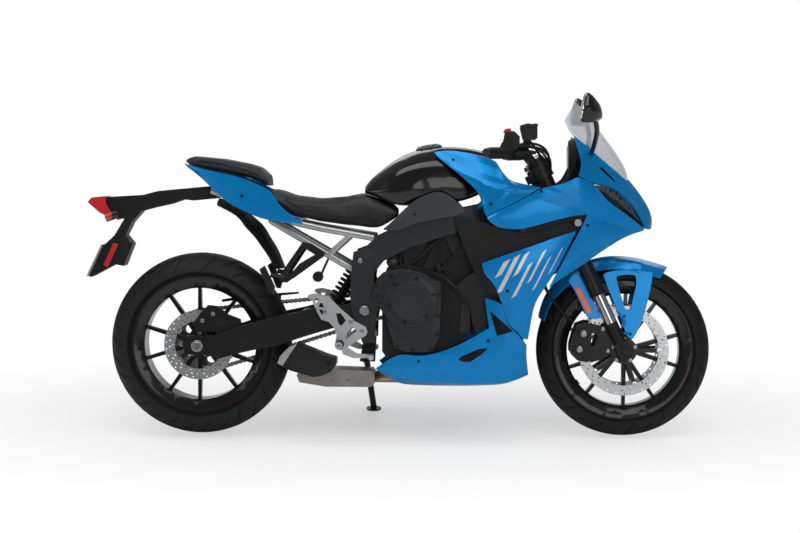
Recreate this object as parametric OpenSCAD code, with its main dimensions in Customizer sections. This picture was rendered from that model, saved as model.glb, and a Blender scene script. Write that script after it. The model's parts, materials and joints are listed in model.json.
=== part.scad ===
// Sport bike with a full fairing, leaning on its side stand.
// Every piece is drawn upright: X forward from the rear axle, Y to the left, Z up from the ground.
// The parked() module then leans the whole bike and moves its origin under the middle of its box.

/* [Stance] */
// Lean to the left on the side stand, in degrees
lean = 10.5; // [9:0.5:12]
// Distance between the axles
wheelbase = 1465; // [1445:5:1485]
// Angle of the steering axis from upright
rake = 25; // [24:0.5:26]
// Distance of the front axle ahead of the steering axis
fork_offset = 32.5; // [28:0.5:36]

/* [Wheels] */
// Outer radius of the front tyre
front_tyre_r = 300; // [297:1:303]
// Half the width of the front tyre
front_tyre_half = 60; // [56:1:64]
// Outer radius of the rear tyre
rear_tyre_r = 315; // [312:1:318]
// Half the width of the rear tyre
rear_tyre_half = 90; // [85:1:92]
// Radius of the rear tyre's crown across its width
rear_crown_r = 95; // [93:1:105]
// Radius of the tyre bead on both rims
bead_r = 232; // [230:1:234]
// Thickness of a tyre's wall
tyre_wall = 11; // [9:1:14]
// Inner radius of the rim well
rim_inner_r = 194; // [190:1:200]
// Number of spoke pairs in each wheel
spoke_pairs = 5; // [3:1:7]
// Half the spread of a spoke pair at the rim, in degrees
spoke_spread = 16; // [10:1:20]
// Radius of a wheel's hub
hub_r = 38; // [34:1:44]

/* [Brakes] */
// Outer radius of the front discs
front_disc_r = 155; // [150:1:160]
// Inner radius of the front discs
front_disc_in_r = 121; // [115:1:125]
// Distance of a front disc from the centre plane
front_disc_y = 66; // [62:1:68]
// Outer radius of the rear disc
rear_disc_r = 120; // [110:1:125]
// Inner radius of the rear disc
rear_disc_in_r = 83; // [78:1:90]
// Distance of the rear disc from the centre plane
rear_disc_y = 96; // [94:1:98]
// Thickness of a brake disc
disc_t = 5; // [4:0.5:6]

/* [Chain] */
// Pitch of the drive chain
chain_pitch = 15.875; // [12.7, 15.875]
// Teeth of the rear sprocket
rear_teeth = 43; // [40:1:46]
// Teeth of the front sprocket
front_teeth = 16; // [14:1:17]
// Distance of the chain line from the centre plane
chain_y = 104; // [102:1:106]
// Width of the chain over its pins
chain_w = 20; // [16:1:22]
// Height of the chain's plates
chain_h = 15; // [13:1:17]

/* [Fork] */
// Distance of a fork tube from the centre plane
fork_y = 103; // [101:1:106]
// Radius of the outer fork tubes
fork_outer_r = 27; // [25:0.5:28]
// Radius of the inner fork tubes
fork_inner_r = 20.5; // [19:0.5:22]
// Length of the fork from the axle to its top cap
fork_len = 728; // [715:1:740]
// Height along the fork at which the outer tubes start
fork_outer_start = 225; // [210:5:240]
// Radius of the steering stem
stem_r = 14; // [12:0.5:15]

/* [Swingarm] */
// Height of the swingarm pivot
pivot_z = 440; // [436:1:444]
// Distance of the swingarm pivot ahead of the rear axle
pivot_x = 575; // [570:1:580]
// Inner face of a swingarm arm from the centre plane
arm_in_y = 119; // [117:1:121]
// Outer face of a swingarm arm from the centre plane
arm_out_y = 146; // [140:1:150]
// Radius of the rear axle
rear_axle_r = 12; // [10:0.5:14]
// Radius of the front axle
front_axle_r = 12; // [10:0.5:14]

/* [Body panels] */
// Thickness of the fairing panels
panel_t = 4; // [3:0.5:5]
// Thickness of the windscreen
screen_t = 3; // [3:0.5:4]

/* [Side stand] */
// Distance of the stand's foot from the centre plane
foot_y = 290; // [280:5:300]
// Radius of the stand's leg
stand_leg_r = 11; // [9:0.5:13]
// Radius of the stand's foot plate
stand_foot_r = 26; // [22:1:30]
// Thickness of the stand's foot plate
stand_foot_t = 6; // [4:0.5:8]

/* [Seats] */
// Half the width of the rider's seat
rider_seat_half = 132; // [125:1:140]
// Half the width of the passenger's seat
pillion_half = 109; // [100:1:115]

/* [Hidden] */
$fn = 48;
front_crown_r = front_tyre_half + 1;
front_axle_z = front_tyre_r;
rear_axle_z = rear_tyre_r + (rear_crown_r - front_crown_r) * (1 - cos(lean)) / cos(lean);
ground_lift = front_crown_r * (1 - cos(lean));
tail_reach = 391;
head_x = wheelbase - fork_offset * cos(rake) - (fork_len - 143) * sin(rake);
head_z = front_axle_z - fork_offset * sin(rake) + (fork_len - 143) * cos(rake);
origin_x = (wheelbase + front_tyre_r - tail_reach) / 2;
origin_y = 177.5;
seat_gap = 0.3;
flange_h = 7;
front_rim_half = 45;
rear_rim_half = 70;
sprocket_t = 7;
rear_pitch_r = chain_pitch / (2 * sin(180 / rear_teeth));
front_pitch_r = chain_pitch / (2 * sin(180 / front_teeth));
sprocket_x = pivot_x + 75;
sprocket_z = pivot_z + 10;
plate_in_y = arm_out_y + 2;
plate_out_y = plate_in_y + 14;
pivot_r = 18;
head_z0 = fork_len - 208;
head_z1 = fork_len - 78;
clamp_t = 28;
bar_in = [1122, 168, 980];
bar_out = [992, 352, 978];
shock_top = [560, 612];
shock_foot = [430, 402];
stand_x = 565;
stand_y = 168;
stand_z = 266;
foot_x = 590;
foot_z = foot_y * tan(lean) - ground_lift / cos(lean);
stand_axis = unit([0, stand_z - foot_z, foot_y - stand_y]);

// Smooth curve through points, rows of points or whole sections
function blend4(a, b, c, d, t) =
    0.5 * (2 * b + (c - a) * t + (2 * a - 5 * b + 4 * c - d) * t * t + (3 * b - a - 3 * c + d) * t * t * t);
function smooth(p, k) = [
    for (i = [0:len(p) - 2], s = [0:k - 1])
        blend4(p[max(i - 1, 0)], p[i], p[i + 1], p[min(i + 2, len(p) - 1)], s / k),
    p[len(p) - 1]];
function unit(v) = v / norm(v);
function grid_normal(g, i, j) =
    let (across = g[i][min(j + 1, len(g[i]) - 1)] - g[i][max(j - 1, 0)],
         down = g[min(i + 1, len(g) - 1)][j] - g[max(i - 1, 0)][j])
    unit(cross(across, down));

// Puts the upright bike on its side stand
module parked() {
    translate([-origin_x, -origin_y, ground_lift]) rotate([-lean, 0, 0]) children();
}

// A row of points that goes on round the nose to the right side
function across_nose(row) = concat(row, [for (i = [len(row) - 2:-1:0]) [row[i][0], -row[i][1], row[i][2]]]);
// Draws a piece on the left and its mirror image on the right
module both() {
    children();
    mirror([0, 1, 0]) children();
}

// Thin panel over rows of points, top row first, each row from rear to front on the left side
module panel(rows, t = panel_t, fine = 2, down = 1) {
    g = smooth([for (r = rows) smooth(r, fine)], down);
    n = len(g);
    m = len(g[0]);
    inner = [for (i = [0:n - 1]) [for (j = [0:m - 1]) g[i][j] - t * grid_normal(g, i, j)]];
    points = concat([for (r = g) each r], [for (r = inner) each r]);
    s = n * m;
    faces = [
        for (i = [0:n - 2], j = [0:m - 2])
            let (a = i * m + j, b = a + m, c = b + 1, d = a + 1)
            each [[a, b, c], [a, c, d], [s + a, s + c, s + b], [s + a, s + d, s + c]],
        for (j = [0:m - 2])
            let (a = j, b = j + 1, e = (n - 1) * m + j, f = e + 1)
            each [[a, b, s + b], [a, s + b, s + a], [e, s + f, f], [e, s + e, s + f]],
        for (i = [0:n - 2])
            let (a = i * m, b = a + m, e = i * m + m - 1, f = e + m)
            each [[a, s + b, b], [a, s + a, s + b], [e, f, s + f], [e, s + f, s + e]]];
    polyhedron(points, faces);
}

// Closed body through half sections, rear first; each runs from the top centre down the left side
module body(stations, fine = 2, round_up = 1) {
    halves = smooth([for (q = stations) smooth(q, round_up)], fine);
    rings = [for (h = halves) let (k = len(h)) concat(
        [for (i = [k - 1:-1:0]) h[i]],
        [for (i = [1:k - 1]) [h[i][0], -h[i][1], h[i][2]]])];
    n = len(rings);
    m = len(rings[0]);
    middle = function (r) [for (c = [0:2]) let (v = [for (q = r) q[c]]) v * [for (q = r) 1] / len(r)];
    points = concat([for (r = rings) each r], [middle(rings[0]), middle(rings[n - 1])]);
    faces = [
        for (i = [0:n - 2], k = [0:m - 1])
            let (a = i * m + k, b = a + m, d = i * m + (k + 1) % m, c = d + m)
            each [[a, b, c], [a, c, d]],
        for (k = [0:m - 1]) [n * m, k, (k + 1) % m],
        for (k = [0:m - 1]) [n * m + 1, (n - 1) * m + (k + 1) % m, (n - 1) * m + k]];
    polyhedron(points, faces);
}

// Round bar from one point to another
module rod(p, q, r) {
    v = q - p;
    translate(p)
        rotate([0, acos(v[2] / norm(v)), atan2(v[1], v[0])])
            cylinder(h = norm(v), r = r, $fn = 24);
}

// Bent tube along a smooth curve through points, for a path that never runs straight across
module bent_tube(path, r, sides = 12, fine = 3) {
    line = smooth(path, fine);
    n = len(line);
    along = [for (i = [0:n - 1]) unit(line[min(i + 1, n - 1)] - line[max(i - 1, 0)])];
    points = [for (i = [0:n - 1])
        let (b = unit(cross(along[i], [0, 1, 0])), c = cross(b, along[i]))
        for (k = [0:sides - 1]) line[i] + r * (cos(k * 360 / sides) * b + sin(k * 360 / sides) * c)];
    faces = [
        [for (k = [sides - 1:-1:0]) k],
        [for (k = [0:sides - 1]) (n - 1) * sides + k],
        for (i = [0:n - 2], k = [0:sides - 1])
            let (a = i * sides + k, b = i * sides + (k + 1) % sides)
            each [[a, b, a + sides], [b, b + sides, a + sides]]];
    polyhedron(points, faces);
}

// Side profile [x, z] as a plate between two distances from the centre plane
module plate(outline, y0, y1) {
    translate([0, y1, 0]) rotate([90, 0, 0]) linear_extrude(y1 - y0) polygon(outline);
}

// Cylinder across the bike between two distances from the centre plane
module across(x, z, r, y0, y1) {
    translate([x, y1, z]) rotate([90, 0, 0]) cylinder(h = y1 - y0, r = r);
}

// Puts children where the axle is the origin and Z runs up along the fork
module on_fork() {
    translate([wheelbase, 0, front_axle_z]) rotate([0, -rake, 0]) children();
}

// Turns a wheel's own Z axis across the bike at its axle
module at_axle(x, z) {
    translate([x, 0, z]) rotate([90, 0, 0]) children();
}

// Tyre with a round crown, straight side walls and an open inside
module tyre(r, half, crown, rim_half) {
    edge = min(80, asin(min(1, half / crown)));
    step = edge / 6;
    centre = r - crown;
    inner = crown - tyre_wall;
    bead = bead_r + seat_gap;
    side = rim_half - seat_gap;
    outside = [for (a = [-edge:step:edge + step / 2]) [centre + crown * cos(a), crown * sin(a)]];
    inside = [for (a = [edge:-step:-edge - step / 2]) [centre + inner * cos(a), inner * sin(a)]];
    rotate_extrude($fn = 72)
        polygon(concat(
            [[bead, -side], [bead + flange_h + 2, -side]], outside,
            [[bead + flange_h + 2, side], [bead, side], [bead, side - tyre_wall]],
            inside, [[bead, tyre_wall - side]]));
}

// One tapered spoke blade from the hub to the rim
module spoke(root_angle, tip_angle, root_w, tip_w) {
    a = hub_r - 3;
    b = rim_inner_r + 3;
    root = a * [cos(root_angle), sin(root_angle)];
    tip = b * [cos(tip_angle), sin(tip_angle)];
    side = [-(tip - root)[1], (tip - root)[0]] / norm(tip - root);
    polygon([root - side * root_w / 2, tip - side * tip_w / 2, tip + side * tip_w / 2, root + side * root_w / 2]);
}

// Cast rim with paired spokes and a hub bored for its axle
module rim(half, hub_half, spoke_t, start, axle_r) {
    difference() {
        union() {
            rotate_extrude($fn = 72)
                polygon([
                    [rim_inner_r, -half + 16], [bead_r - 8, -half - 3], [bead_r + 7, -half - 3],
                    [bead_r + 7, -half], [bead_r, -half], [bead_r - 12, -half + 22],
                    [rim_inner_r + 8, -half + 34], [rim_inner_r + 8, half - 34],
                    [bead_r - 12, half - 22], [bead_r, half], [bead_r + 7, half],
                    [bead_r + 7, half + 3], [bead_r - 8, half + 3], [rim_inner_r, half - 16]]);
            for (i = [0:spoke_pairs - 1], s = [-1, 1])
                translate([0, 0, -spoke_t / 2])
                    linear_extrude(spoke_t)
                        rotate(start + i * 360 / spoke_pairs)
                            spoke(s * spoke_spread * 0.6, s * spoke_spread, 17, 12);
            translate([0, 0, -hub_half]) cylinder(h = 2 * hub_half, r = hub_r);
        }
        translate([0, 0, -hub_half - 1]) cylinder(h = 2 * hub_half + 2, r = axle_r + 0.3);
    }
}

// Brake disc ring on a carrier with arms, its own middle plane at zero
module disc(r, in_r, arms, carrier_in_r) {
    difference() {
        union() {
            difference() {
                translate([0, 0, -disc_t / 2]) cylinder(h = disc_t, r = r, $fn = 72);
                translate([0, 0, -disc_t]) cylinder(h = 2 * disc_t, r = in_r, $fn = 72);
            }
            translate([0, 0, -disc_t / 2]) cylinder(h = disc_t, r = carrier_in_r + 14);
            for (i = [0:arms - 1])
                rotate(i * 360 / arms)
                    translate([carrier_in_r + 5, -7, -disc_t / 2])
                        cube([in_r - carrier_in_r - 2, 14, disc_t]);
        }
        translate([0, 0, -disc_t]) cylinder(h = 2 * disc_t, r = carrier_in_r);
    }
}

module front_tyre() {
    color("#1c1c1e") parked() at_axle(wheelbase, front_axle_z)
        tyre(front_tyre_r, front_tyre_half, front_crown_r, front_rim_half);
}

module rear_tyre() {
    color("#1c1c1e") parked() at_axle(0, rear_axle_z)
        tyre(rear_tyre_r, rear_tyre_half, rear_crown_r, rear_rim_half);
}

module front_rim() {
    color("#202024") parked() at_axle(wheelbase, front_axle_z)
        rim(front_rim_half, front_disc_y - disc_t / 2 - 0.3, 26, -1, front_axle_r);
}

module rear_rim() {
    color("#202024") parked() at_axle(0, rear_axle_z) {
        rim(rear_rim_half, rear_disc_y - disc_t / 2 - seat_gap, 28, 36, rear_axle_r);
        difference() {
            translate([0, 0, -chain_y + sprocket_t / 2 + seat_gap])
                cylinder(h = chain_y - sprocket_t / 2 - 30, r = 56);
            cylinder(h = 400, r = hub_r - 2, center = true);
        }
    }
}

module front_discs() {
    color("silver") parked() at_axle(wheelbase, front_axle_z)
        for (s = [-1, 1]) translate([0, 0, s * front_disc_y]) disc(front_disc_r, front_disc_in_r, 5, 32);
}

module rear_disc() {
    color("silver") parked() at_axle(0, rear_axle_z)
        translate([0, 0, rear_disc_y]) disc(rear_disc_r, rear_disc_in_r, 5, 32);
}

// Outline of a sprocket with one rounded tooth for each link
module sprocket_outline(teeth, pitch_r) {
    polygon([for (i = [0:4 * teeth - 1])
        let (a = i * 90 / teeth, r = pitch_r + [4.5, 1, -4, 1][i % 4]) r * [cos(a), sin(a)]]);
}

module rear_sprocket() {
    color("#77787c") parked() at_axle(0, rear_axle_z)
        translate([0, 0, -chain_y - sprocket_t / 2]) difference() {
            linear_extrude(sprocket_t) sprocket_outline(rear_teeth, rear_pitch_r);
            translate([0, 0, -1]) cylinder(h = 9, r = rear_axle_r + 14);
            for (i = [0:4]) rotate(i * 72) translate([68, 0, -1]) cylinder(h = 9, r = 15);
        }
}

// Pitch line of the chain round both sprockets: its parts' lengths, then place and direction out at a distance
chain_slope = [sprocket_x, sprocket_z - rear_axle_z];
chain_tilt = atan2(chain_slope[1], chain_slope[0]);
chain_wrap = acos((rear_pitch_r - front_pitch_r) / norm(chain_slope));
chain_run = norm(chain_slope) * sin(chain_wrap);
rear_turn = 360 - 2 * chain_wrap;
front_turn = 2 * chain_wrap;
chain_bends = [rear_pitch_r * rear_turn * PI / 180, front_pitch_r * front_turn * PI / 180];
chain_len = chain_bends[0] + chain_bends[1] + 2 * chain_run;
chain_links = 2 * round(chain_len / chain_pitch / 2);
function turned(a) = [cos(a), sin(a)];
function chain_at(s, off) =
    let (a = chain_tilt + chain_wrap, b = chain_tilt - chain_wrap,
         rear = [0, rear_axle_z], front = [sprocket_x, sprocket_z],
         s1 = s - chain_bends[0], s2 = s1 - chain_run, s3 = s2 - chain_bends[1])
    s1 < 0 ? rear + (rear_pitch_r + off) * turned(a + rear_turn * s / chain_bends[0]) :
    s2 < 0 ? rear + (rear_pitch_r + off) * turned(b) + s1 * turned(b + 90) :
    s3 < 0 ? front + (front_pitch_r + off) * turned(b + front_turn * s2 / chain_bends[1]) :
    front + (front_pitch_r + off) * turned(a) + s3 * turned(a + 90);
function chain_outline(side) = [for (i = [0:2 * chain_links - 1])
    chain_at(i * chain_len / chain_links / 2, side * (i % 2 == 0 ? chain_h / 2 : chain_h / 3))];

module drive_chain() {
    gap = sprocket_t / 2 + 1;
    pin_step = chain_len / chain_links;
    color("#8a7a4e") parked() {
        for (s = [-1, 1])
            translate([0, chain_y + s * (gap + chain_w / 2) / 2 + (chain_w / 2 - gap) / 2, 0])
                rotate([90, 0, 0]) linear_extrude(chain_w / 2 - gap)
                    difference() {
                        polygon(chain_outline(1));
                        polygon(chain_outline(-1));
                    }
        for (start = [chain_bends[0], chain_len - chain_run], i = [2:4:30])
            let (p = chain_at((ceil(start / pin_step) + i) * pin_step, 0))
                across(p[0], p[1], 4, chain_y - gap - 1, chain_y + gap + 1);
        translate([sprocket_x, chain_y - 3.5, sprocket_z]) rotate([-90, 0, 0])
            linear_extrude(sprocket_t) circle(front_pitch_r - 3);
        across(sprocket_x, sprocket_z, 16, 88, chain_y + 12);
        across(sprocket_x, sprocket_z, 31, 96, chain_y + 12);
    }
}

// Spar from the steering head down to the swingarm pivot, as a side profile
spar = [[884, 786], [860, 780], [700, 732], [610, 690], [565, 645], [550, 600], [600, 560],
    [640, 610], [720, 652], [860, 700], [884, 706]];

// Plate round the swingarm pivot
pivot_plate = [[536, 640], [528, 560], [526, 470], [538, 400], [568, 330], [610, 330], [612, 400],
    [625, 470], [604, 545], [612, 612], [590, 660]];

module main_frame() {
    color("#55575b") parked() difference() {
        union() {
            both() plate(spar, 132, 149);
            both() plate(pivot_plate, plate_in_y, plate_out_y);
            both() panel([
                [[870, 149, 782], [960, 132, 800], [head_x - 128, 88, head_z + 8], [head_x - 22, 30, head_z + 28]],
                [[870, 149, 704], [960, 132, 726], [head_x - 128, 88, head_z - 64], [head_x - 2, 30, head_z - 24]]], t = 18);
            on_fork() translate([-fork_offset, 0, head_z0]) cylinder(h = head_z1 - head_z0, r = 36);
            across(shock_top[0], shock_top[1], 22, -plate_out_y + 5, plate_out_y - 5);
            across(pivot_x, pivot_z, pivot_r, -plate_out_y - 3, plate_out_y + 3);
            across(590, 345, 16, -plate_out_y + 5, plate_out_y - 5);
            plate([[545, 240], [600, 240], [606, 350], [566, 360]], 131, 145);
            rod([stand_x, stand_y, stand_z] - 32 * stand_axis, [stand_x, stand_y, stand_z] - 12.3 * stand_axis, 18);
        }
        on_fork() translate([-fork_offset, 0, head_z0 - 10])
            cylinder(h = head_z1 - head_z0 + 20, r = stem_r + seat_gap);
    }
}

module engine() {
    color("#2c2d30") parked() {
        plate([[712, 258], [820, 248], [905, 300], [930, 380], [915, 470], [905, 520], [850, 560],
            [760, 590], [712, 600]], -140, 140);
        plate([[634, 300], [660, 262], [714, 258], [714, 600], [650, 585], [634, 540]], -140, 88);
        plate([[765, 570], [912, 505], [1000, 690], [856, 765]], -108, 108);
        plate([[850, 755], [1002, 690], [1025, 740], [880, 800]], -80, 80);
        plate([[646, 612], [714, 590], [790, 566], [880, 700], [862, 756], [760, 742], [690, 716]], -96, 96);
        plate([[727, 708], [789, 689], [770, 630], [750, 599], [707, 599], [703, 630], [715, 689]], -128, 128);
        plate([[844, 713], [871, 715], [911, 666], [915, 631], [876, 634], [842, 701]], -128, 128);
        both() across(668, 606, 20, 90, 130);
        mirror([0, 1, 0])
            bent_tube([[822, 112, 596], [836, 122, 562], [860, 132, 536], [888, 142, 514], [916, 144, 494]], 13);
        across(923, 490, 22, -157.2, -120);
        plate([[904, 466], [935, 466], [935, 360], [900, 368]], -150, -120);
    }
}

module engine_covers() {
    color("#35363a") parked() {
        across(733, 478, 100, -190, -140);
        across(733, 478, 90, -196, -189);
        across(733, 478, 68, -204, -195);
        plate([[646, 556], [636, 516], [634, 473], [651, 397], [678, 315], [717, 300], [803, 300], [830, 351],
            [836, 470], [834, 540], [700, 585]], -172, -140);
        plate([[607, 475], [602, 495], [619, 553], [640, 573], [693, 583], [699, 530], [674, 511], [658, 472]],
            -184, -163.5);
        across(850, 400, 84, 140, 184);
        across(850, 400, 66, 183, 192);
        plate([[634, 386], [705, 380], [711.6, 470], [690, 520], [634, 512]], 122, 136);
    }
}

module radiator() {
    color("#1b1c1f") parked() {
        translate([1062, 0, 400]) rotate([0, 12, 0]) translate([-18, -165, 0]) cube([36, 330, 330]);
        for (s = [-1, 1]) rod([1018, s * 12, 715], [1110, s * 12, 698], 7);
    }
}

module exhaust_pipes() {
    color("#8f6a48") parked() {
        for (s = [-1, 1])
            bent_tube([[1018, s * 55, 713], [1044, s * 55, 701], [1054, s * 55, 640], [1028, s * 54, 480],
                [1000, s * 50, 330], [930, s * 38, 228], [860, s * 28, 202], [606.5, s * 28, 200]], 19);
    }
}

module muffler() {
    color("#a8a39a") parked() {
        plate([[336, 211], [345, 185], [438, 170], [593, 170], [606, 182], [606, 215], [598, 226], [456, 231]], -75, 75);
        difference() {
            union() {
                plate([[343, 329], [439, 290], [479, 277], [479, 256], [461, 232], [426, 216], [400, 213],
                    [321, 235], [277, 261]], -176, -84);
                plate([[350, 318], [439, 280], [466, 270], [466, 256], [452, 240], [426, 226], [400, 223],
                    [324, 245], [292, 262]], -184, -76);
                plate([[279, 264], [286, 283], [317, 314], [334, 321], [344, 326], [300, 258]], -172, -88);
                across(430, 250, 24, -84, -74);
            }
            for (y = [-112, -148]) translate([300, y, 290]) rotate([0, -48.7, 0]) cylinder(h = 60, r = 14);
        }
    }
}

module subframe() {
    color("silver") parked() {
        both() {
            bent_tube([[606, plate_out_y - 2, 688], [335, 118, 738], [180, 84, 800], [40, 63, 846]], 11);
            rod([540, plate_in_y - 11 - seat_gap, 575], [250, 100, 744], 11);
            rod([530, 147, 701], [452, 126, 630], 10);
        }
        for (p = [[180, 84, 800], [335, 118, 738], [250, 100, 744]])
            rod(p, [p[0], -p[1], p[2]], 10);
    }
}

module swingarm() {
    color("#26272a") parked() difference() {
        union() {
            both() plate([[-50, 350], [-45, 285], [43, 282], [65, 269], [145, 291], [206, 305], [277, 318],
                [350, 343], [410, 362], [560, 405], [602, 420], [606, 455], [590, 468], [397, 447],
                [350, 434], [277, 419], [189, 397], [123, 375], [52, 350]], arm_in_y, arm_out_y);
            plate([[352, 376], [405, 380], [425, 430], [352, 432]], -arm_in_y - 1, arm_in_y + 1);
            across(shock_foot[0], shock_foot[1], 14, -25, 25);
        }
        across(0, rear_axle_z, rear_axle_r + seat_gap, -200, 200);
        across(pivot_x, pivot_z, pivot_r + seat_gap, -200, 200);
    }
}

module rear_shock() {
    run = [shock_top[0] - shock_foot[0], shock_top[1] - shock_foot[1]];
    along = run / norm(run);
    low = shock_foot + (14 + seat_gap) * along;
    high = shock_top - (22 + seat_gap) * along;
    spring = [low + 40 * along, high - 30 * along];
    color("#b9bbc0") parked() {
        rod([low[0], 0, low[1]], [high[0], 0, high[1]], 12);
        rod([spring[0][0], 0, spring[0][1]], [spring[1][0], 0, spring[1][1]], 32);
    }
}

module fuel_tank() {
    color("#0d0f13") parked() {
        body([
            [[572, 0, 866], [572, 50, 860], [572, 80, 852], [572, 90, 845], [572, 84, 839]],
            [[588, 0, 888], [588, 55, 880], [588, 92, 860], [588, 106, 846], [588, 96, 834]],
            [[625, 0, 920], [625, 62, 912], [625, 110, 880], [625, 128, 846], [625, 114, 821]],
            [[688, 0, 966], [688, 72, 957], [688, 134, 912], [688, 152, 850], [688, 134, 797]],
            [[759, 0, 993], [759, 78, 985], [759, 142, 936], [759, 160, 866], [759, 140, 800]],
            [[846, 0, 1003], [846, 76, 995], [846, 138, 945], [846, 154, 872], [846, 134, 804]],
            [[930, 0, 998], [930, 62, 990], [930, 112, 938], [930, 132, 870], [930, 118, 820]],
            [[990, 0, 985], [990, 45, 975], [990, 82, 925], [990, 100, 880], [990, 92, 850]]], fine = 2);
        both() rod([840, 140, 778], [840, 130, 812], 8);
    }
}

module side_covers() {
    color("#6d7076") parked() both() panel([
        [[650, 158, 728], [729, 160, 806], [775, 162, 833], [830, 164, 848], [880, 166, 822], [917, 166, 780]],
        [[640, 164, 722], [712, 168, 768], [775, 170, 792], [830, 171, 800], [868, 171, 786], [900, 169, 770]],
        [[638, 164, 717], [690, 172, 712], [739, 175, 736], [804, 176, 749], [850, 175, 759], [884, 172, 764]]]);
    color("#6d7076") parked() both() across(704, 724, 6, 149.8, 169);
}

module inner_panels() {
    color("#222327") parked() both() {
        panel([
            [[880, 172, 756], [916, 174, 764], [985, 178, 742], [1060, 180, 716], [1160, 178, 712],
                [1260, 176, 745], [1360, 160, 750]],
            [[905, 172, 670], [950, 176, 670], [1010, 180, 680], [1080, 182, 690], [1190, 180, 700],
                [1265, 176, 730], [1360, 160, 742]],
            [[948, 170, 572], [985, 178, 575], [1040, 180, 610], [1100, 182, 640], [1200, 180, 675],
                [1290, 172, 706], [1358, 160, 734]]]);
        panel([
            [[940, 166, 600], [962, 171, 592], [984, 177, 578]],
            [[966, 168, 545], [984, 176, 540], [1003, 186, 540]],
            [[988, 170, 510], [1006, 180, 508], [1027, 190, 510]],
            [[1020, 178, 485], [1032, 186, 481], [1043, 194, 477]]]);
        plate([[886, 520], [905, 500], [938, 450], [940, 400], [950, 372], [1000, 392], [1040, 402], [1066, 545],
            [950, 575], [900, 545]], 158, 161);
        across(975, 560, 7, 159, 173);
    }
    color("#222327") parked() across(895, 514, 6, 140.8, 159);
}

module rider_seat() {
    color("#1a1b1e") parked() body([
        [[243.5, 0, 862], [243.5, 60, 852], [243.5, 100, 838], [243.5, 118, 822], [243.5, 100, 812]],
        [[276, 0, 850], [276, 66, 850], [276, 112, 836], [276, 126, 812], [276, 110, 790]],
        [[330, 0, 826], [330, 74, 830], [330, 122, 812], [330, rider_seat_half, 780], [330, 118, 764]],
        [[417, 0, 815], [417, 78, 820], [417, 126, 800], [417, rider_seat_half, 762], [417, 118, 744]],
        [[504, 0, 822], [504, 70, 827], [504, 112, 803], [504, 128, 758], [504, 114, 732]],
        [[560, 0, 838], [560, 60, 838], [560, 98, 828], [560, 124, 780], [560, 112, 727]],
        [[588, 0, 829], [588, 60, 829], [588, 104, 826], [588, 128, 786], [588, 114, 723]],
        [[625, 0, 816], [625, 60, 816], [625, 110, 814], [625, 132, 778], [625, 118, 722]],
        [[688, 0, 791], [688, 60, 791], [688, 112, 789], [688, 134, 776], [688, 126, 762]]], fine = 1);
}

module pillion_seat() {
    color("#1a1b1e") parked() body([
        [[-56, 0, 956], [-56, 24, 955], [-56, 44, 950], [-56, 48, 945], [-56, 40, 941]],
        [[-20, 0, 966], [-20, 40, 962], [-20, 62, 948], [-20, 66, 938], [-20, 58, 930]],
        [[87, 0, 956], [87, 60, 952], [87, 92, 936], [87, 96, 922], [87, 84, 910]],
        [[171, 0, 940], [171, 66, 938], [171, 102, 920], [171, pillion_half, 902], [171, 92, 892]],
        [[210, 0, 928], [210, 66, 926], [210, 104, 906], [210, pillion_half, 888], [210, 92, 876]],
        [[243, 0, 900], [243, 66, 896], [243, 104, 880], [243, pillion_half, 868], [243, 92, 856]]], fine = 1);
}

module tail_panels() {
    color("#1272b8") parked() both() panel([
        [[-56, 48, 940], [-20, 67, 928], [87, 97, 906], [155, 108, 890], [250, 128, 846], [275, 133, 806],
            [323, 136, 764], [360, 136, 745]],
        [[-50, 50, 934], [-15, 70, 918], [80, 102, 880], [145, 116, 850], [225, 130, 806], [265, 136, 780],
            [318, 139, 752], [360, 138, 742]],
        [[-44, 44, 926], [4, 64, 892], [60, 86, 838], [110, 100, 800], [196, 120, 760], [250, 128, 746],
            [308, 134, 737], [358, 136, 736]]]);
}

module plate_hanger() {
    color("#1c1d20") parked() {
        plate([[-329, 823], [-200, 831], [-147, 845], [30, 862], [60, 820],
            [-22, 812], [-58, 816], [-102, 800], [-165, 786], [-205, 775], [-240, 735], [-262, 690],
            [-238, 660], [-268, 584], [-298, 590], [-382, 545], [-388, 549], [-338, 655], [-300, 690], [-272, 737],
            [-265, 747], [-299, 757], [-326, 800]], -48, 48);
        across(50, 842, 9, -51.8, 51.8);
    }
}

module rear_fender() {
    color("#16171a") parked() panel([
        [[60, 0, 818], [140, 0, 786], [180, 0, 752], [214, 0, 722], [238, 0, 680], [264, 0, 640], [288, 0, 577]],
        [[60, -50, 812], [140, -52, 780], [171, -54, 744], [207, -56, 716], [233, -58, 676], [260, -60, 637],
            [284, -60, 577]],
        [[60, -86, 796], [130, -88, 760], [158, -90, 722], [190, -92, 690], [214, -94, 656], [240, -96, 620],
            [262, -96, 577]]], down = 1);
    color("#16171a") parked() panel([
        [[60, 86, 796], [130, 88, 760], [158, 90, 722], [190, 92, 690], [214, 94, 656], [240, 96, 620],
            [262, 96, 577]],
        [[60, 50, 812], [140, 52, 780], [171, 54, 744], [207, 56, 716], [233, 58, 676], [260, 60, 637],
            [284, 60, 577]],
        [[60, 0, 818], [140, 0, 786], [180, 0, 752], [214, 0, 722], [238, 0, 680], [264, 0, 640], [288, 0, 577]]]);
}

module number_plate() {
    top = [-338, 655];
    color("gainsboro") parked()
        translate([top[0], 0, top[1]]) rotate([0, 25.3, 0]) translate([-3.4, -92, -118]) cube([3, 184, 122]);
}

module tail_lamps() {
    color("#c01818") parked() {
        plate([[-391, 806], [-377, 822], [-330, 827], [-327, 800], [-300, 756.5], [-309, 750], [-350, 770]], -60, 60);
        both() plate([[-303, 665], [-285, 660], [-322, 580], [-338, 588]], 48 + seat_gap, 54);
    }
}

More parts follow.
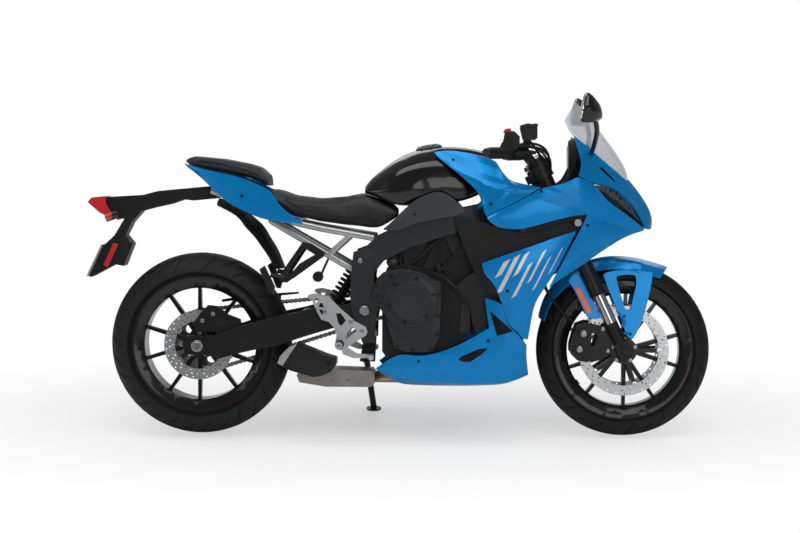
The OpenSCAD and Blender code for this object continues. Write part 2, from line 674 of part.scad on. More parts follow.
module tank_panels() {
    color("#1272b8") parked() both() {
        panel([
            [[809, 112, 982], [847, 116, 987], [900, 118, 984], [972, 112, 969], [1023, 98, 949], [1065, 136, 887],
                [1172, 206, 864]],
            [[826, 138, 962], [864, 145, 950], [915, 152, 930], [985, 158, 908], [1038, 164, 884], [1080, 186, 870],
                [1148, 212, 850]],
            [[855, 158, 938], [895, 168, 914], [930, 178, 896], [975, 190, 876], [1020, 202, 858], [1070, 210, 846],
                [1125, 216, 832]],
            [[958, 172, 858], [962, 178, 846], [966, 184, 834], [972, 191, 818], [976, 198, 800], [980, 207, 780],
                [988, 214, 764]]]);
        rod([960, 133.8, 790], [978, 192.5, 806], 7);
    }
}

module upper_fairings() {
    color("#1272b8") parked() both() {
        panel([
            [[990, 214, 762], [1050, 216, 793], [1108, 217, 821], [1178, 213, 862], [1240, 205, 872], [1298, 196, 898],
                [1352, 178, 874]],
            [[992, 220, 756], [1046, 224, 770], [1105, 226, 790], [1180, 224, 820], [1250, 214, 826], [1310, 202, 836],
                [1375, 176, 820]],
            [[998, 212, 747], [1031, 216, 726], [1100, 218, 720], [1180, 216, 740], [1255, 206, 760], [1325, 190, 770],
                [1385, 170, 752]]]);
        panel([
            [[1352, 178, 874], [1371, 174, 853], [1400, 165, 817], [1466, 132, 771], [1516, 100, 733], [1532, 84, 722]],
            [[1345, 184, 800], [1370, 176, 780], [1405, 162, 755], [1460, 132, 735], [1510, 98, 722], [1530, 82, 718]],
            [[1308, 194, 722], [1340, 184, 700], [1385, 168, 690], [1450, 134, 695], [1502, 98, 711], [1528, 80, 714]],
            [[1200, 200, 520], [1240, 190, 552], [1306, 170, 592], [1393, 140, 651], [1459, 112, 691], [1515, 84, 710]]]);
    }
}

module lower_fairings() {
    color("#1272b8") parked() both() across(1070, 440, 7, 165.8, 203);
    color("#1272b8") parked() both() panel([
        [[974, 214, 606], [1076, 220, 643], [1150, 222, 668], [1219, 216, 693], [1294, 196, 716]],
        [[976, 222, 588], [1070, 228, 604], [1140, 230, 616], [1200, 222, 626], [1252, 204, 636]],
        [[984, 218, 564], [1060, 226, 560], [1120, 226, 556], [1170, 214, 552], [1212, 202, 556]],
        [[1022, 212, 530], [1070, 216, 500], [1104, 214, 486], [1140, 204, 474], [1156, 196, 482]],
        [[1046, 204, 455], [1070, 206, 440], [1096, 202, 430], [1122, 196, 425], [1145, 188, 430]],
        [[1066, 196, 396], [1080, 196, 385], [1096, 192, 372], [1114, 186, 350], [1132, 178, 345]]]);
}

module belly_pan() {
    color("#1272b8") parked() both() {
        panel([
            [[613, 158, 242], [690, 164, 292], [759, 172, 286], [837, 182, 302], [930, 190, 342], [1000, 192, 384],
                [1064, 192, 396], [1128, 172, 326]],
            [[616, 158, 238], [690, 166, 255], [759, 174, 250], [837, 182, 252], [930, 188, 262], [1000, 186, 275],
                [1064, 180, 285], [1126, 162, 285]],
            [[622, 150, 232], [690, 152, 210], [759, 156, 202], [837, 158, 196], [930, 160, 190], [1000, 156, 190],
                [1064, 146, 194], [1136, 130, 222]],
            [[640, 110, 216], [690, 104, 186], [759, 100, 180], [837, 96, 178], [930, 94, 178], [1000, 90, 180],
                [1064, 84, 186], [1134, 76, 214]]]);
        panel([
            [[985, 190, 486], [1015, 196, 478], [1042, 204, 465]],
            [[992, 192, 430], [1025, 196, 430], [1054, 200, 430]],
            [[1000, 190, 384], [1030, 192, 390], [1064, 194, 396]]]);
        across(860, 300, 7, 140.8, 181);
    }
}

module nose_cowl() {
    rows = [
        [[1287, 112, 1040], [1342, 122, 995], [1372, 121, 968], [1434, 103, 916], [1470, 72, 886],
            [1479, 36, 888], [1482, 0, 889]],
        [[1300, 160, 990], [1345, 152, 958], [1384, 140, 928], [1440, 112, 884], [1485, 76, 850],
            [1506, 38, 852], [1514, 0, 852]],
        [[1312, 180, 945], [1360, 166, 918], [1422, 142, 872], [1478, 112, 824], [1522, 80, 778],
            [1545, 40, 790], [1553, 0, 795]],
        [[1302, 192, 911], [1354, 175, 884], [1425, 147, 866], [1490, 112, 810], [1538, 78, 744],
            [1560, 40, 750], [1567, 0, 753]],
        [[1300, 194, 902], [1353, 176, 876], [1425, 148, 858], [1490, 112, 800], [1536, 77, 722],
            [1556, 40, 719], [1563, 0, 720]]];
    color("#1272b8") parked() panel([for (row = rows) across_nose(row)], fine = 2);
}

module windscreen() {
    color("#c8d8e0", 0.4) parked() panel([
        [[1264, 92, 1096], [1290, 50, 1142], [1298, 0, 1158], [1290, -50, 1142], [1264, -92, 1096]],
        [[1286, 108, 1046], [1330, 62, 1095], [1346, 0, 1108], [1330, -62, 1095], [1286, -108, 1046]],
        [[1342, 117, 1000], [1378, 68, 1032], [1394, 0, 1044], [1378, -68, 1032], [1342, -117, 1000]],
        [[1372, 116, 973], [1414, 68, 988], [1432, 0, 994], [1414, -68, 988], [1372, -116, 973]],
        [[1434, 98, 921], [1460, 52, 930], [1472, 0, 934], [1460, -52, 930], [1434, -98, 921]],
        [[1469.2, 69, 887.3], [1478, 34, 889.3], [1481.6, 0, 889.5], [1478, -34, 889.3], [1469.2, -69, 887.3]]], t = screen_t);
}

module headlights() {
    color("#15161a") parked() both() {
        panel([
            [[1356, 162, 868], [1392, 146, 864], [1429, 130, 842], [1467, 108, 812], [1500, 86, 778],
                [1530, 66, 736]],
            [[1358, 156, 862], [1384, 142, 846], [1418, 128, 822], [1458, 106, 794], [1493, 84, 764],
                [1526, 66, 731]],
            [[1362, 158, 856], [1380, 152, 838], [1406, 142, 814], [1464, 114, 770], [1506, 84, 740],
                [1524, 68, 728]]], t = 5);
        rod([1436, 118, 832], [1449.6, 124.4, 843.9], 4);
    }
}

module cockpit() {
    color("#17181b") parked() {
        body([
            [[1274, 0, 1026], [1274, 50, 1020], [1274, 68, 1004], [1274, 64, 900], [1274, 50, 880]],
            [[1290, 0, 1036], [1290, 52, 1030], [1290, 74, 1010], [1290, 70, 890], [1290, 52, 868]],
            [[1334, 0, 1000], [1334, 44, 992], [1334, 62, 975], [1334, 60, 876], [1334, 44, 856]]], fine = 1);
        both() panel([
            [[1200, 198, 858], [1262, 178, 884], [1290, 160, 960], [1330, 140, 960]],
            [[1200, 186, 836], [1262, 150, 850], [1310, 100, 880], [1380, 50, 890]]]);
        both() rod([1334, 40, 930], [1352, 118, 946], 8);
        both() rod([1322, 50, 900], [1345, 169.4, 900], 7);
        on_fork() translate([-fork_offset + 36 + seat_gap, 0, 600]) rotate([0, 90, 0]) cylinder(h = 78, r = 14);
    }
}

module mirrors() {
    color("#17181b") parked() both() {
        translate([0, 290, 0]) body([
            [[1309, 0, 1173], [1308, 58, 1166], [1303, 84, 1125], [1299, 66, 1085], [1297, 0, 1078]],
            [[1322, 0, 1184], [1321, 66, 1176], [1318, 92, 1126], [1317, 72, 1081], [1318, 0, 1075]],
            [[1344, 0, 1167], [1344, 56, 1158], [1346, 78, 1120], [1347, 60, 1085], [1348, 0, 1078]],
            [[1367, 0, 1133], [1367, 26, 1130], [1370, 36, 1112], [1369, 26, 1095], [1367, 0, 1089]]]);
        bent_tube([[1348, 256, 1094], [1358, 226, 1056], [1353, 178, 1011], [1343.6, 139.4, 978.5]], 9);
    }
}

module turn_signals() {
    color("#e8e4dc") parked() both() {
        across(1296, 744, 9, 172.6, 226);
        across(1296, 744, 12, 224, 236);
        across(-280, 768, 8, 48 + seat_gap, 96);
        rod([-276, 118, 766], [-318, 118, 752], 14);
        across(-284, 766, 9, 90, 118);
    }
}

module footpegs() {
    color("#9ea0a4") parked() both() {
        difference() {
            plate([[380, 488], [386, 495], [406, 499], [454, 489], [471, 471], [497, 445], [523, 424], [541, 406],
                [580, 386], [586, 367], [580, 356], [520, 318], [503, 305], [482, 308], [476, 332], [480, 358],
                [471, 384], [454, 402], [428, 410], [414, 436], [397, 475]], 168, 182);
            plate([[404, 482], [422, 481], [409, 463]], 160, 190);
            plate([[428, 472], [439, 449], [418, 454]], 160, 190);
            plate([[419, 446], [437, 441], [431, 424]], 160, 190);
            plate([[478, 431], [494, 433], [512, 408], [497, 389], [487, 397]], 160, 190);
            plate([[536, 386], [550, 372], [512, 341], [516, 366]], 160, 190);
        }
        across(567, 373, 11, plate_out_y + seat_gap, 169);
        across(494, 330, 12, 181, 288);
        plate([[482, 345], [500, 350], [516, 318], [550, 296], [606, 292], [606, 280], [537, 280], [503, 293]],
            184, 192);
        across(600, 286, 9, 188, 245);
    }
}

module pillion_pegs() {
    color("#2a2b2e") parked() both() {
        difference() {
            plate([[361, 672], [392, 668], [440, 636], [430, 622], [309, 534], [287, 536], [278, 552]], 140, 150);
            plate([[366, 654], [404, 630], [352, 600], [326, 570], [305, 560]], 130, 160);
        }
        across(404, 650, 7, 131.8, 141);
        plate([[216, 580], [232, 592], [268, 520], [262, 498], [248, 500]], 140, 175);
        rod([252, 150, 560], [300, 146, 552], 8);
    }
}

module chain_guard() {
    color("#1d1e21") parked() {
        plate([[60, 452], [150, 464], [330, 482], [330, 488], [150, 476], [58, 460]], 92, 119);
        plate([[240, 405], [262, 410], [268, 484], [246, 482]], 115.5, arm_in_y - seat_gap);
    }
}

module rear_brake() {
    color("#3a3b3f") parked() {
        difference() {
            plate([[-13, 395], [11, 431], [33, 453], [69, 449], [99, 422], [144, 405], [148, 387], [60, 362], [-11, 362]],
                -arm_in_y + 1, -rear_disc_y + 12);
            at_axle(0, rear_axle_z) translate([0, 0, rear_disc_y - disc_t / 2 - 2])
                cylinder(h = disc_t + 4, r = rear_disc_r + 3);
            at_axle(0, rear_axle_z) translate([0, 0, 60]) cylinder(h = 29, r = 240);
        }
        across(52, 424, 22, -124, -110);
        plate([[60, 420], [120, 390], [128, 372], [110, 360], [70, 352], [58, 400]], -arm_in_y + seat_gap, -112);
        across(412, 553, 18, -118, -90);
        rod([424, -112, 562], [448.4, -131.5, 614.4], 4);
    }
}

module rear_axle() {
    color("silver") parked() {
        across(0, rear_axle_z, rear_axle_r, -150, 150);
        both() across(0, rear_axle_z, 20, 147, 158);
    }
}

module fork_tubes() {
    color("#141518") parked() on_fork() difference() {
        union() {
            both() translate([0, fork_y, fork_outer_start])
                cylinder(h = fork_len - fork_outer_start, r = fork_outer_r);
            for (z = [head_z0 - 5 - clamp_t, head_z1 + 5]) translate([0, 0, z]) linear_extrude(clamp_t) {
                polygon([
                    [-fork_offset - 26, -34], [-fork_offset - 26, 34], [-30, fork_y + 6], [24, fork_y + 6],
                    [16, 50], [-4, 30], [-4, -30], [16, -50], [24, -fork_y - 6], [-30, -fork_y - 6]]);
                for (s = [-1, 1]) translate([0, s * fork_y]) circle(fork_outer_r + 8);
            }
            translate([-fork_offset, 0, head_z0 - 5 - clamp_t]) cylinder(h = head_z1 - head_z0 + 2 * clamp_t + 22, r = stem_r);
        }
        both() translate([0, fork_y, fork_outer_start - 1])
            cylinder(h = fork_len - fork_outer_start - 20, r = fork_inner_r + seat_gap);
    }
}

module fork_legs() {
    color("silver") parked() on_fork() {
        both() translate([0, fork_y, 0]) {
            cylinder(h = fork_len - 60, r = fork_inner_r);
            translate([-24, -19, -26]) cube([48, 38, 62]);
        }
        translate([0, 0, 0]) rotate([90, 0, 0])
            translate([0, 0, -fork_y - 24]) cylinder(h = 2 * fork_y + 48, r = front_axle_r);
    }
}

module handlebars() {
    clamp_z = head_z1 + 5 + clamp_t + seat_gap;
    color("#26272a") parked() both() {
        on_fork() translate([0, fork_y, clamp_z]) difference() {
            cylinder(h = 34, r = fork_outer_r + 10);
            translate([0, 0, -1]) cylinder(h = 36, r = fork_outer_r + seat_gap);
        }
        rod([1156, 147, 934], bar_in, 13);
        rod(bar_in, bar_out, 11);
        rod(bar_in + 0.42 * (bar_out - bar_in), bar_out, 17);
    }
}

module bar_controls() {
    run = bar_out - bar_in;
    color("#2f3033") parked() {
        both() {
            difference() {
                rod(bar_in + 0.07 * run, bar_in + 0.4 * run, 25);
                rod(bar_in, bar_out, 11 + seat_gap);
            }
            bent_tube([[1119, 207, 984], [1150, 226, 980], [1086, 350, 974]], 6);
        }
        difference() {
            plate([[1040, 1006], [1048, 1046], [1078, 1052], [1098, 1034], [1098, 1000], [1080, 986]], -262, -226);
            rod([1122, -168, 980], [992, -352, 978], 17 + seat_gap);
        }
        plate([[1040, 1000], [1048, 1020], [1090, 1022], [1098, 1000]], 226, 262);
        plate([[1099, 1062], [1121, 1072], [1158, 1071], [1158, 1028], [1150, 1022], [1109, 1022]], -236, -188);
        plate([[1106, 994], [1134, 994], [1138, 1024], [1112, 1024]], -214, -194);
    }
}

module front_fender() {
    color("#1d1e22") parked() both() {
        panel([
            [[1172, 2, 412], [1197, 2, 494], [1270, 2, 565], [1352, 2, 612], [1440, 2, 625], [1530, 2, 614],
                [1619, 2, 587]],
            [[1176, 40, 406], [1202, 42, 488], [1272, 46, 556], [1352, 48, 602], [1440, 52, 614], [1528, 52, 602],
                [1608, 40, 576]],
            [[1190, 64, 398], [1216, 66, 470], [1282, 68, 532], [1352, 69, 572], [1440, 72, 582], [1520, 72, 570],
                [1590, 56, 548]]], t = 3);
        translate([0, 69.5, 580]) rotate([5, 0, 0]) translate([0, 0, -580]) {
            difference() {
                plate([[1562, 572], [1560, 533], [1547, 478], [1533, 423], [1506, 354], [1488, 337], [1474, 349],
                    [1465, 376], [1388, 566], [1440, 580], [1520, 577]], 0, 4);
                plate([[1438, 556], [1468, 564], [1503, 560], [1508, 533], [1496, 496], [1487, 441], [1469, 441],
                    [1460, 469], [1441, 530]], -1, 5);
            }
            plate([[1272, 540], [1290, 562], [1312, 566], [1386, 414], [1368, 408], [1336, 416], [1296, 506]], 0, 4);
        }
        rod([1484, 91, 362], [1461.5, 100, 362], 5);
        across(1302, 552, 6, 66, 73);
    }
}

module fork_reflectors() {
    color("#e05a18") parked() both() translate([0, 69.5, 580]) rotate([5, 0, 0]) translate([0, 0, -580])
        plate([[1292, 516], [1311, 520], [1355, 434], [1338, 426]], 4 + seat_gap, 9);
}

module front_calipers() {
    color("#b08d4a") parked() both() difference() {
        union() {
            plate([[1303, 386], [1335, 397], [1399, 385], [1438, 352], [1438, 336], [1424, 326], [1420, 290], [1382, 272], [1337, 261],
                [1304, 267], [1281, 290], [1281, 316], [1290, 350]], front_disc_y - 5, 86);
            across(1326, 360, 18, 84, 92);
            across(1312, 306, 18, 84, 92);
        }
        plate([[1354, 362], [1374, 356], [1364, 316], [1350, 312]], 40, 100);
        at_axle(wheelbase, front_axle_z) translate([0, 0, -front_disc_y - disc_t / 2 - 2])
            cylinder(h = disc_t + 4, r = front_disc_r + 3);
        at_axle(wheelbase, front_axle_z) translate([0, 0, -front_disc_y - disc_t / 2 - 2])
            cylinder(h = 60, r = 105);
        on_fork() translate([0, fork_y, 0]) cylinder(h = 400, r = fork_inner_r + seat_gap);
    }
}

module brake_hoses() {
    color("#111214") parked() both()
        bent_tube([[1229.5, 74, 724], [1200, 84, 640], [1186, 94, 565], [1200, 98, 505], [1240, 94, 448],
            [1288, 79, 398]], 4.5, sides = 8);
}

module side_stand() {
    pivot = [stand_x, stand_y, stand_z];
    color("#222326") parked() {
        rod(pivot, [foot_x, foot_y, foot_z + 6], stand_leg_r);
        rod(pivot - 12 * stand_axis, pivot + 12 * stand_axis, 16);
        translate([foot_x, foot_y, foot_z]) rotate([lean, 0, 0]) cylinder(h = stand_foot_t, r = stand_foot_r);
    }
}

main_frame();
engine();
engine_covers();
radiator();
exhaust_pipes();
muffler();
subframe();
swingarm();
rear_shock();
fuel_tank();
side_covers();
inner_panels();
rider_seat();
pillion_seat();
tail_panels();
plate_hanger();
rear_fender();
number_plate();
tail_lamps();
tank_panels();
upper_fairings();
lower_fairings();
belly_pan();
nose_cowl();
windscreen();
headlights();
cockpit();
mirrors();
turn_signals();
footpegs();
pillion_pegs();
drive_chain();
chain_guard();
rear_brake();
rear_axle();
fork_tubes();
fork_legs();
handlebars();
bar_controls();
front_fender();
fork_reflectors();
front_calipers();
brake_hoses();
front_tyre();
front_rim();
front_discs();
rear_tyre();
rear_rim();
rear_disc();
rear_sprocket();
side_stand();
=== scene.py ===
"""Looks of a faired sport bike that leans on its side stand."""

import json
import math
from functools import cache

import bmesh
import bpy
import numpy as np
from bpy.props import FloatProperty, FloatVectorProperty, IntProperty, PointerProperty
from mathutils import Matrix, Vector
from mathutils.bvhtree import BVHTree


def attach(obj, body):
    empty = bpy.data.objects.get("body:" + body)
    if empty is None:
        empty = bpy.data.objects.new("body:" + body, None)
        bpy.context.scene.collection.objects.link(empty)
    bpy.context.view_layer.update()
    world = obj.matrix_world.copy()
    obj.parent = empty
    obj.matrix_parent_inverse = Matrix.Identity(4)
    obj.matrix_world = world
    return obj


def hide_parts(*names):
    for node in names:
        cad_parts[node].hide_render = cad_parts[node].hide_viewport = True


bl_info = {
    "name": "Faired sport bike",
    "version": (1, 0, 0),
    "blender": (4, 5, 0),
    "location": "View3D > Sidebar > Sport bike",
    "description": "Dresses the frame of a faired sport bike with its panels, wheels and trim",
    "category": "Object",
}

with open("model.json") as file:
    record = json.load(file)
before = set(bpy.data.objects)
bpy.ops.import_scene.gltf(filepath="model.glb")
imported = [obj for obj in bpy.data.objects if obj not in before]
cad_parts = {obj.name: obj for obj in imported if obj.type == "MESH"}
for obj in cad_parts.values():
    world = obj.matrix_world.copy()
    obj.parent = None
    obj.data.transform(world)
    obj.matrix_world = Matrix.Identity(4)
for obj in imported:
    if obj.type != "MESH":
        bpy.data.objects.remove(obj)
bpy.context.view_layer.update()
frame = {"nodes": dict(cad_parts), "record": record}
RECORD = frame["record"]
MM = 0.001

# Stance, in millimetres and degrees, as the solids have it
LEAN = math.radians(10.5)
ORIGIN_X = 687.0
ORIGIN_Y = 177.5
GROUND_LIFT = 1.0217
WHEELBASE = 1465.0
RAKE = math.radians(25.0)
FORK_OFFSET = 32.5
FRONT_AXLE_Z = 300.0
REAR_AXLE_Z = 315.575
PARKED = Matrix.Translation(Vector((-ORIGIN_X, -ORIGIN_Y, GROUND_LIFT)) * MM) @ Matrix.Rotation(-LEAN, 4, "X")
TURN = PARKED.to_3x3()
FRONT_AXLE = (WHEELBASE, 0.0, FRONT_AXLE_Z)
REAR_AXLE = (0.0, 0.0, REAR_AXLE_Z)

# The photograph's camera, in the upright bike's frame: place in millimetres, turns in radians
CAMERA_PLACE = (892.0, -7500.0, 922.0)
CAMERA_YAW = 0.0268
CAMERA_PITCH = 0.045
CAMERA_ROLL = 0.0029
CAMERA_LENS = 97.05

# Pitch radius of each sprocket and its centre (x, z); the chain's pitch and middle plane
REAR_PITCH_R, FRONT_PITCH_R = 108.75, 40.69
SPROCKETS = ((0.0, REAR_AXLE_Z), (650.0, 450.0))
CHAIN_PITCH = 15.875
CHAIN_Y = 104.0

# Bar from its clamp to its end, on the left side
BAR_IN, BAR_OUT = Vector((1122.0, 168.0, 980.0)), Vector((992.0, 352.0, 978.0))
SHOCK_FOOT, SHOCK_TOP = Vector((430.0, 0.0, 402.0)), Vector((560.0, 0.0, 612.0))


def at(x, y, z):
    """Row-frame metres of a point given in millimetres on the upright bike."""
    return PARKED @ (Vector((x, y, z)) * MM)


def way(x, y, z):
    """A direction on the upright bike, in the row frame."""
    return (TURN @ Vector((x, y, z))).normalized()


def on_fork(forward, y, up):
    """A point on the fork: forward of and up along the fork's line from the front axle."""
    c, s = math.cos(RAKE), math.sin(RAKE)
    return at(WHEELBASE + forward * c - up * s, y, FRONT_AXLE_Z + forward * s + up * c)


# Settings that a user would change


def colour(label, words, rgb):
    return FloatVectorProperty(name=label, description=words, subtype="COLOR", size=3, min=0, max=1, default=rgb)


class PaintSettings(bpy.types.PropertyGroup):
    body: colour("Body", "Colour of the painted panels", (0.0008, 0.228, 0.590))
    dark: colour("Dark parts", "Colour of the gloss black tank and trim", (0.004, 0.004, 0.0045))
    grey: colour("Grey parts", "Colour of the grey covers and frame", (0.034, 0.039, 0.044))
    graphic: colour("Graphic", "Colour of the stripes on the side", (0.62, 0.66, 0.70))
    coat: FloatProperty(name="Coat", description="Strength of the clear coat", min=0, max=1, default=0.2)


class WheelSettings(bpy.types.PropertyGroup):
    tread_depth: FloatProperty(name="Tread depth", description="Depth of the tyre grooves in millimetres",
                               min=1, max=7, default=4.0)
    grooves: IntProperty(name="Grooves", description="Groove groups round each tyre", min=8, max=30, default=15)
    disc_holes: IntProperty(name="Disc holes", description="Holes in each row of a disc", min=10, max=60, default=30)
    hole_size: FloatProperty(name="Hole size", description="Radius of a disc's holes in millimetres",
                             min=1, max=5, default=3.0)


class SeatSettings(bpy.types.PropertyGroup):
    pressure: FloatProperty(name="Foam pressure", description="Pressure that rounds the seats", min=0, max=10,
                            default=3.0)
    swell: FloatProperty(name="Swell", description="How far the cover may move", subtype="DISTANCE", min=0.002,
                         max=0.03, default=0.0035)


class LightSettings(bpy.types.PropertyGroup):
    key: FloatProperty(name="Top light", description="Power of the large lamp above", subtype="POWER", min=0,
                       max=2000, default=70.0)
    side: FloatProperty(name="Side light", description="Power of the lamp beside the camera", subtype="POWER",
                        min=0, max=2000, default=38.0)
    world: FloatProperty(name="Room", description="Strength of the room's light", min=0, max=2, default=0.38)


# Mesh helpers

BODY_OF = {node: body for body, nodes in RECORD["behaviour"]["bodies"].items() for node in nodes}

# Distances in metres at which points count as one, in CAD meshes and in turned parts
CAD_MERGE = 0.00002
TURNED_MERGE = 0.00001


def cad_shape(node):
    """A merged copy of a CAD node's mesh."""
    shape = bmesh.new()
    shape.from_mesh(frame["nodes"][node].data)
    bmesh.ops.remove_doubles(shape, verts=shape.verts, dist=CAD_MERGE)
    return shape


@cache
def seat_tree(node):
    """Search tree over a CAD node's surface."""
    shape = cad_shape(node)
    tree = BVHTree.FromBMesh(shape)
    shape.free()
    return tree


def seat(x, z, side, nodes, sink=0.0):
    """Where a line across the bike from one side first meets the nodes, and the way their surface faces."""
    return first_hit(at(x, side * 700, z), way(0, -side, 0), nodes, sink)


def seat_top(x, y, nodes, sink=0.0):
    """Where a line down from above first meets the nodes, and the way their surface faces."""
    return first_hit(at(x, y, 1500), way(0, 0, -1), nodes, sink)


def first_hit(start, ahead, nodes, sink):
    """The nearest point of the nodes on a line, sunk in millimetres, and the normal there."""
    best = None
    for node in nodes:
        point, normal, _, far = seat_tree(node).ray_cast(start, ahead)
        if point is not None and (best is None or far < best[0]):
            best = (far, point, normal if normal.dot(ahead) < 0 else -normal)
    if best is None:
        raise RuntimeError(f"nothing to seat on from {tuple(start)} towards {tuple(ahead)}")
    return best[1] - best[2] * sink * MM, best[2]


def as_mesh(name, shape):
    """A mesh from a bmesh, which is used up; anything else stays as it is."""
    if not isinstance(shape, bmesh.types.BMesh):
        return shape
    mesh = bpy.data.meshes.new(name)
    shape.to_mesh(mesh)
    shape.free()
    return mesh


def linked(name, shape):
    """An object in the scene with a bmesh, mesh or curve."""
    made = bpy.data.objects.new(name, as_mesh(name, shape))
    bpy.context.scene.collection.objects.link(made)
    return made


def piece(name, shape, material, body, replaces, smooth=35.0):
    """Turns a bmesh or a mesh into an object that rides on a body."""
    made = linked(name, shape)
    mesh = made.data
    mesh.name = name
    mesh.materials.clear()
    mesh.materials.append(material)
    mesh.shade_smooth()
    mesh.set_sharp_from_angle(angle=math.radians(smooth))
    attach(made, body)
    if replaces:
        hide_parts(*replaces)
    return made


def evaluated(made):
    """A new mesh of an object as its modifiers leave it."""
    graph = bpy.context.evaluated_depsgraph_get()
    return bpy.data.meshes.new_from_object(made.evaluated_get(graph))


def settle(made):
    """Applies a piece's modifiers to its mesh."""
    mesh = evaluated(made)
    made.modifiers.clear()
    made.data = mesh
    return made


def shell(node, material, levels=2, crease=0.8, sharp=32.0, smooth=50.0):
    """Dresses a lofted CAD node: quads, kept edges and a smooth surface."""
    shape = cad_shape(node)
    bmesh.ops.join_triangles(shape, faces=shape.faces, angle_face_threshold=math.radians(45),
                             angle_shape_threshold=math.radians(80))
    layer = shape.edges.layers.float.get("crease_edge") or shape.edges.layers.float.new("crease_edge")
    for edge in shape.edges:
        if edge.is_manifold and edge.calc_face_angle(0) > math.radians(sharp):
            edge[layer] = crease
    made = piece(node + "_skin", shape, material, BODY_OF[node], (node,), smooth)
    soft = made.modifiers.new("Smooth", "SUBSURF")
    soft.levels = soft.render_levels = levels
    return made


def hard(node, material, edge=0.8, segments=2, smooth=38.0):
    """Dresses a turned or extruded CAD node: whole faces and rounded edges."""
    shape = cad_shape(node)
    bmesh.ops.dissolve_limit(shape, angle_limit=math.radians(1.0), verts=shape.verts, edges=shape.edges)
    made = piece(node + "_skin", shape, material, BODY_OF[node], (node,), smooth)
    if edge:
        round_edges(made, edge, segments)


def round_edges(made, width, segments=2, angle=38.0):
    """Rounds a piece's edges over a width in millimetres, and splits its many-sided faces."""
    bevel = made.modifiers.new("Edges", "BEVEL")
    bevel.width = width * MM
    bevel.segments = segments
    bevel.limit_method = "ANGLE"
    bevel.angle_limit = math.radians(angle)
    bevel.harden_normals = False
    split = made.modifiers.new("Split", "TRIANGULATE")
    split.min_vertices = 5


def turned(profile, steps, closed, place):
    """Skin of (radius, along) pairs turned full circle, where place(angle, radius, along) gives each point."""
    shape = bmesh.new()
    rings = [[shape.verts.new(place(math.tau * k / steps, r, h)) for r, h in profile] for k in range(steps)]
    count = len(profile)
    for here, there in zip(rings, rings[1:] + rings[:1]):
        for i in range(count if closed else count - 1):
            j = (i + 1) % count
            shape.faces.new((here[i], there[i], there[j], here[j]))
    bmesh.ops.remove_doubles(shape, verts=shape.verts, dist=TURNED_MERGE)
    bmesh.ops.recalc_face_normals(shape, faces=shape.faces)
    return shape


def lathe(profile, centre, steps, axis, closed=True):
    """Turns (radius, along) pairs in millimetres round an axis of the upright bike."""
    z = Vector(axis).normalized()
    x = z.orthogonal().normalized()
    y = z.cross(x)

    def place(a, r, h):
        return at(*(Vector(centre) + (x * math.cos(a) + y * math.sin(a)) * r + z * h))

    return turned(profile, steps, closed, place)


def spun(profile, steps=16):
    """A part turned round its own Z from (radius, height) pairs in millimetres, with its seat at height 0."""
    return turned(profile, steps, False, lambda a, r, h: (r * math.cos(a) * MM, r * math.sin(a) * MM, h * MM))


def socket_bolt(r, h, steps=16):
    """Round bolt head with a socket."""
    return spun([(0, h * 0.4), (r * 0.5, h * 0.4), (r * 0.5, h), (r * 0.84, h), (r, h * 0.78), (r, -0.6), (0, -0.6)],
                steps)


def prism(outline, y0, y1):
    """Plate with an (x, z) outline in millimetres, from y0 to y1 across the upright bike."""
    shape = bmesh.new()
    near, far = ([shape.verts.new(at(x, y, z)) for x, z in outline] for y in (y0, y1))
    count = len(outline)
    shape.faces.new(near)
    shape.faces.new(far[::-1])
    for i in range(count):
        j = (i + 1) % count
        shape.faces.new((near[i], near[j], far[j], far[i]))
    bmesh.ops.recalc_face_normals(shape, faces=shape.faces)
    return shape


def slab(name, outline, y0, y1, material, body, edge):
    """A plate as a piece with rounded edges."""
    round_edges(piece(name, prism(outline, y0, y1), material, body, ()), edge, 3)


def tube(points, r, sides=12, steps=8):
    """Smooth tube through row-frame points, with a radius in millimetres."""
    curve = bpy.data.curves.new("route", "CURVE")
    curve.dimensions = "3D"
    curve.bevel_depth = r * MM
    curve.bevel_resolution = max(1, sides // 4)
    curve.resolution_u = steps
    curve.use_fill_caps = True
    line = curve.splines.new("NURBS")
    line.points.add(len(points) - 1)
    for spot, point in zip(line.points, points):
        spot.co = (*point, 1.0)
    line.use_endpoint_u = True
    line.order_u = min(4, len(points))
    holder = linked("route", curve)
    mesh = evaluated(holder)
    bpy.data.objects.remove(holder)
    bpy.data.curves.remove(curve)
    return mesh


def hoses(runs, flip=1):
    """Tubes along (points, radius) runs in millimetres on the upright bike, on the other side where flip is -1."""
    return [tube([at(x, flip * y, z) for x, y, z in points], r) for points, r in runs]


def merged(shapes):
    """Joins bmeshes and meshes into one bmesh."""
    whole = bmesh.new()
    for shape in shapes:
        mesh = as_mesh("part", shape)
        whole.from_mesh(mesh)
        bpy.data.meshes.remove(mesh)
    return whole


# Repeats, by geometry nodes


def geometry_tree(name, inputs, output):
    """A new geometry node tree with named inputs and one output, and its two end nodes."""
    tree = bpy.data.node_groups.new(name, "GeometryNodeTree")
    for label, kind in inputs:
        tree.interface.new_socket(label, in_out="INPUT", socket_type="NodeSocket" + kind)
    tree.interface.new_socket(output, in_out="OUTPUT", socket_type="NodeSocketGeometry")
    return tree, tree.nodes.new("NodeGroupInput"), tree.nodes.new("NodeGroupOutput")


def end_tree(tree, start, end, shape):
    """Ends a tree: the shape is made real and takes the finish."""
    real, paint = tree.nodes.new("GeometryNodeRealizeInstances"), tree.nodes.new("GeometryNodeSetMaterial")
    tree.links.new(shape, real.inputs[0])
    tree.links.new(real.outputs[0], paint.inputs["Geometry"])
    tree.links.new(start.outputs["Finish"], paint.inputs["Material"])
    tree.links.new(paint.outputs[0], end.inputs[0])
    return tree


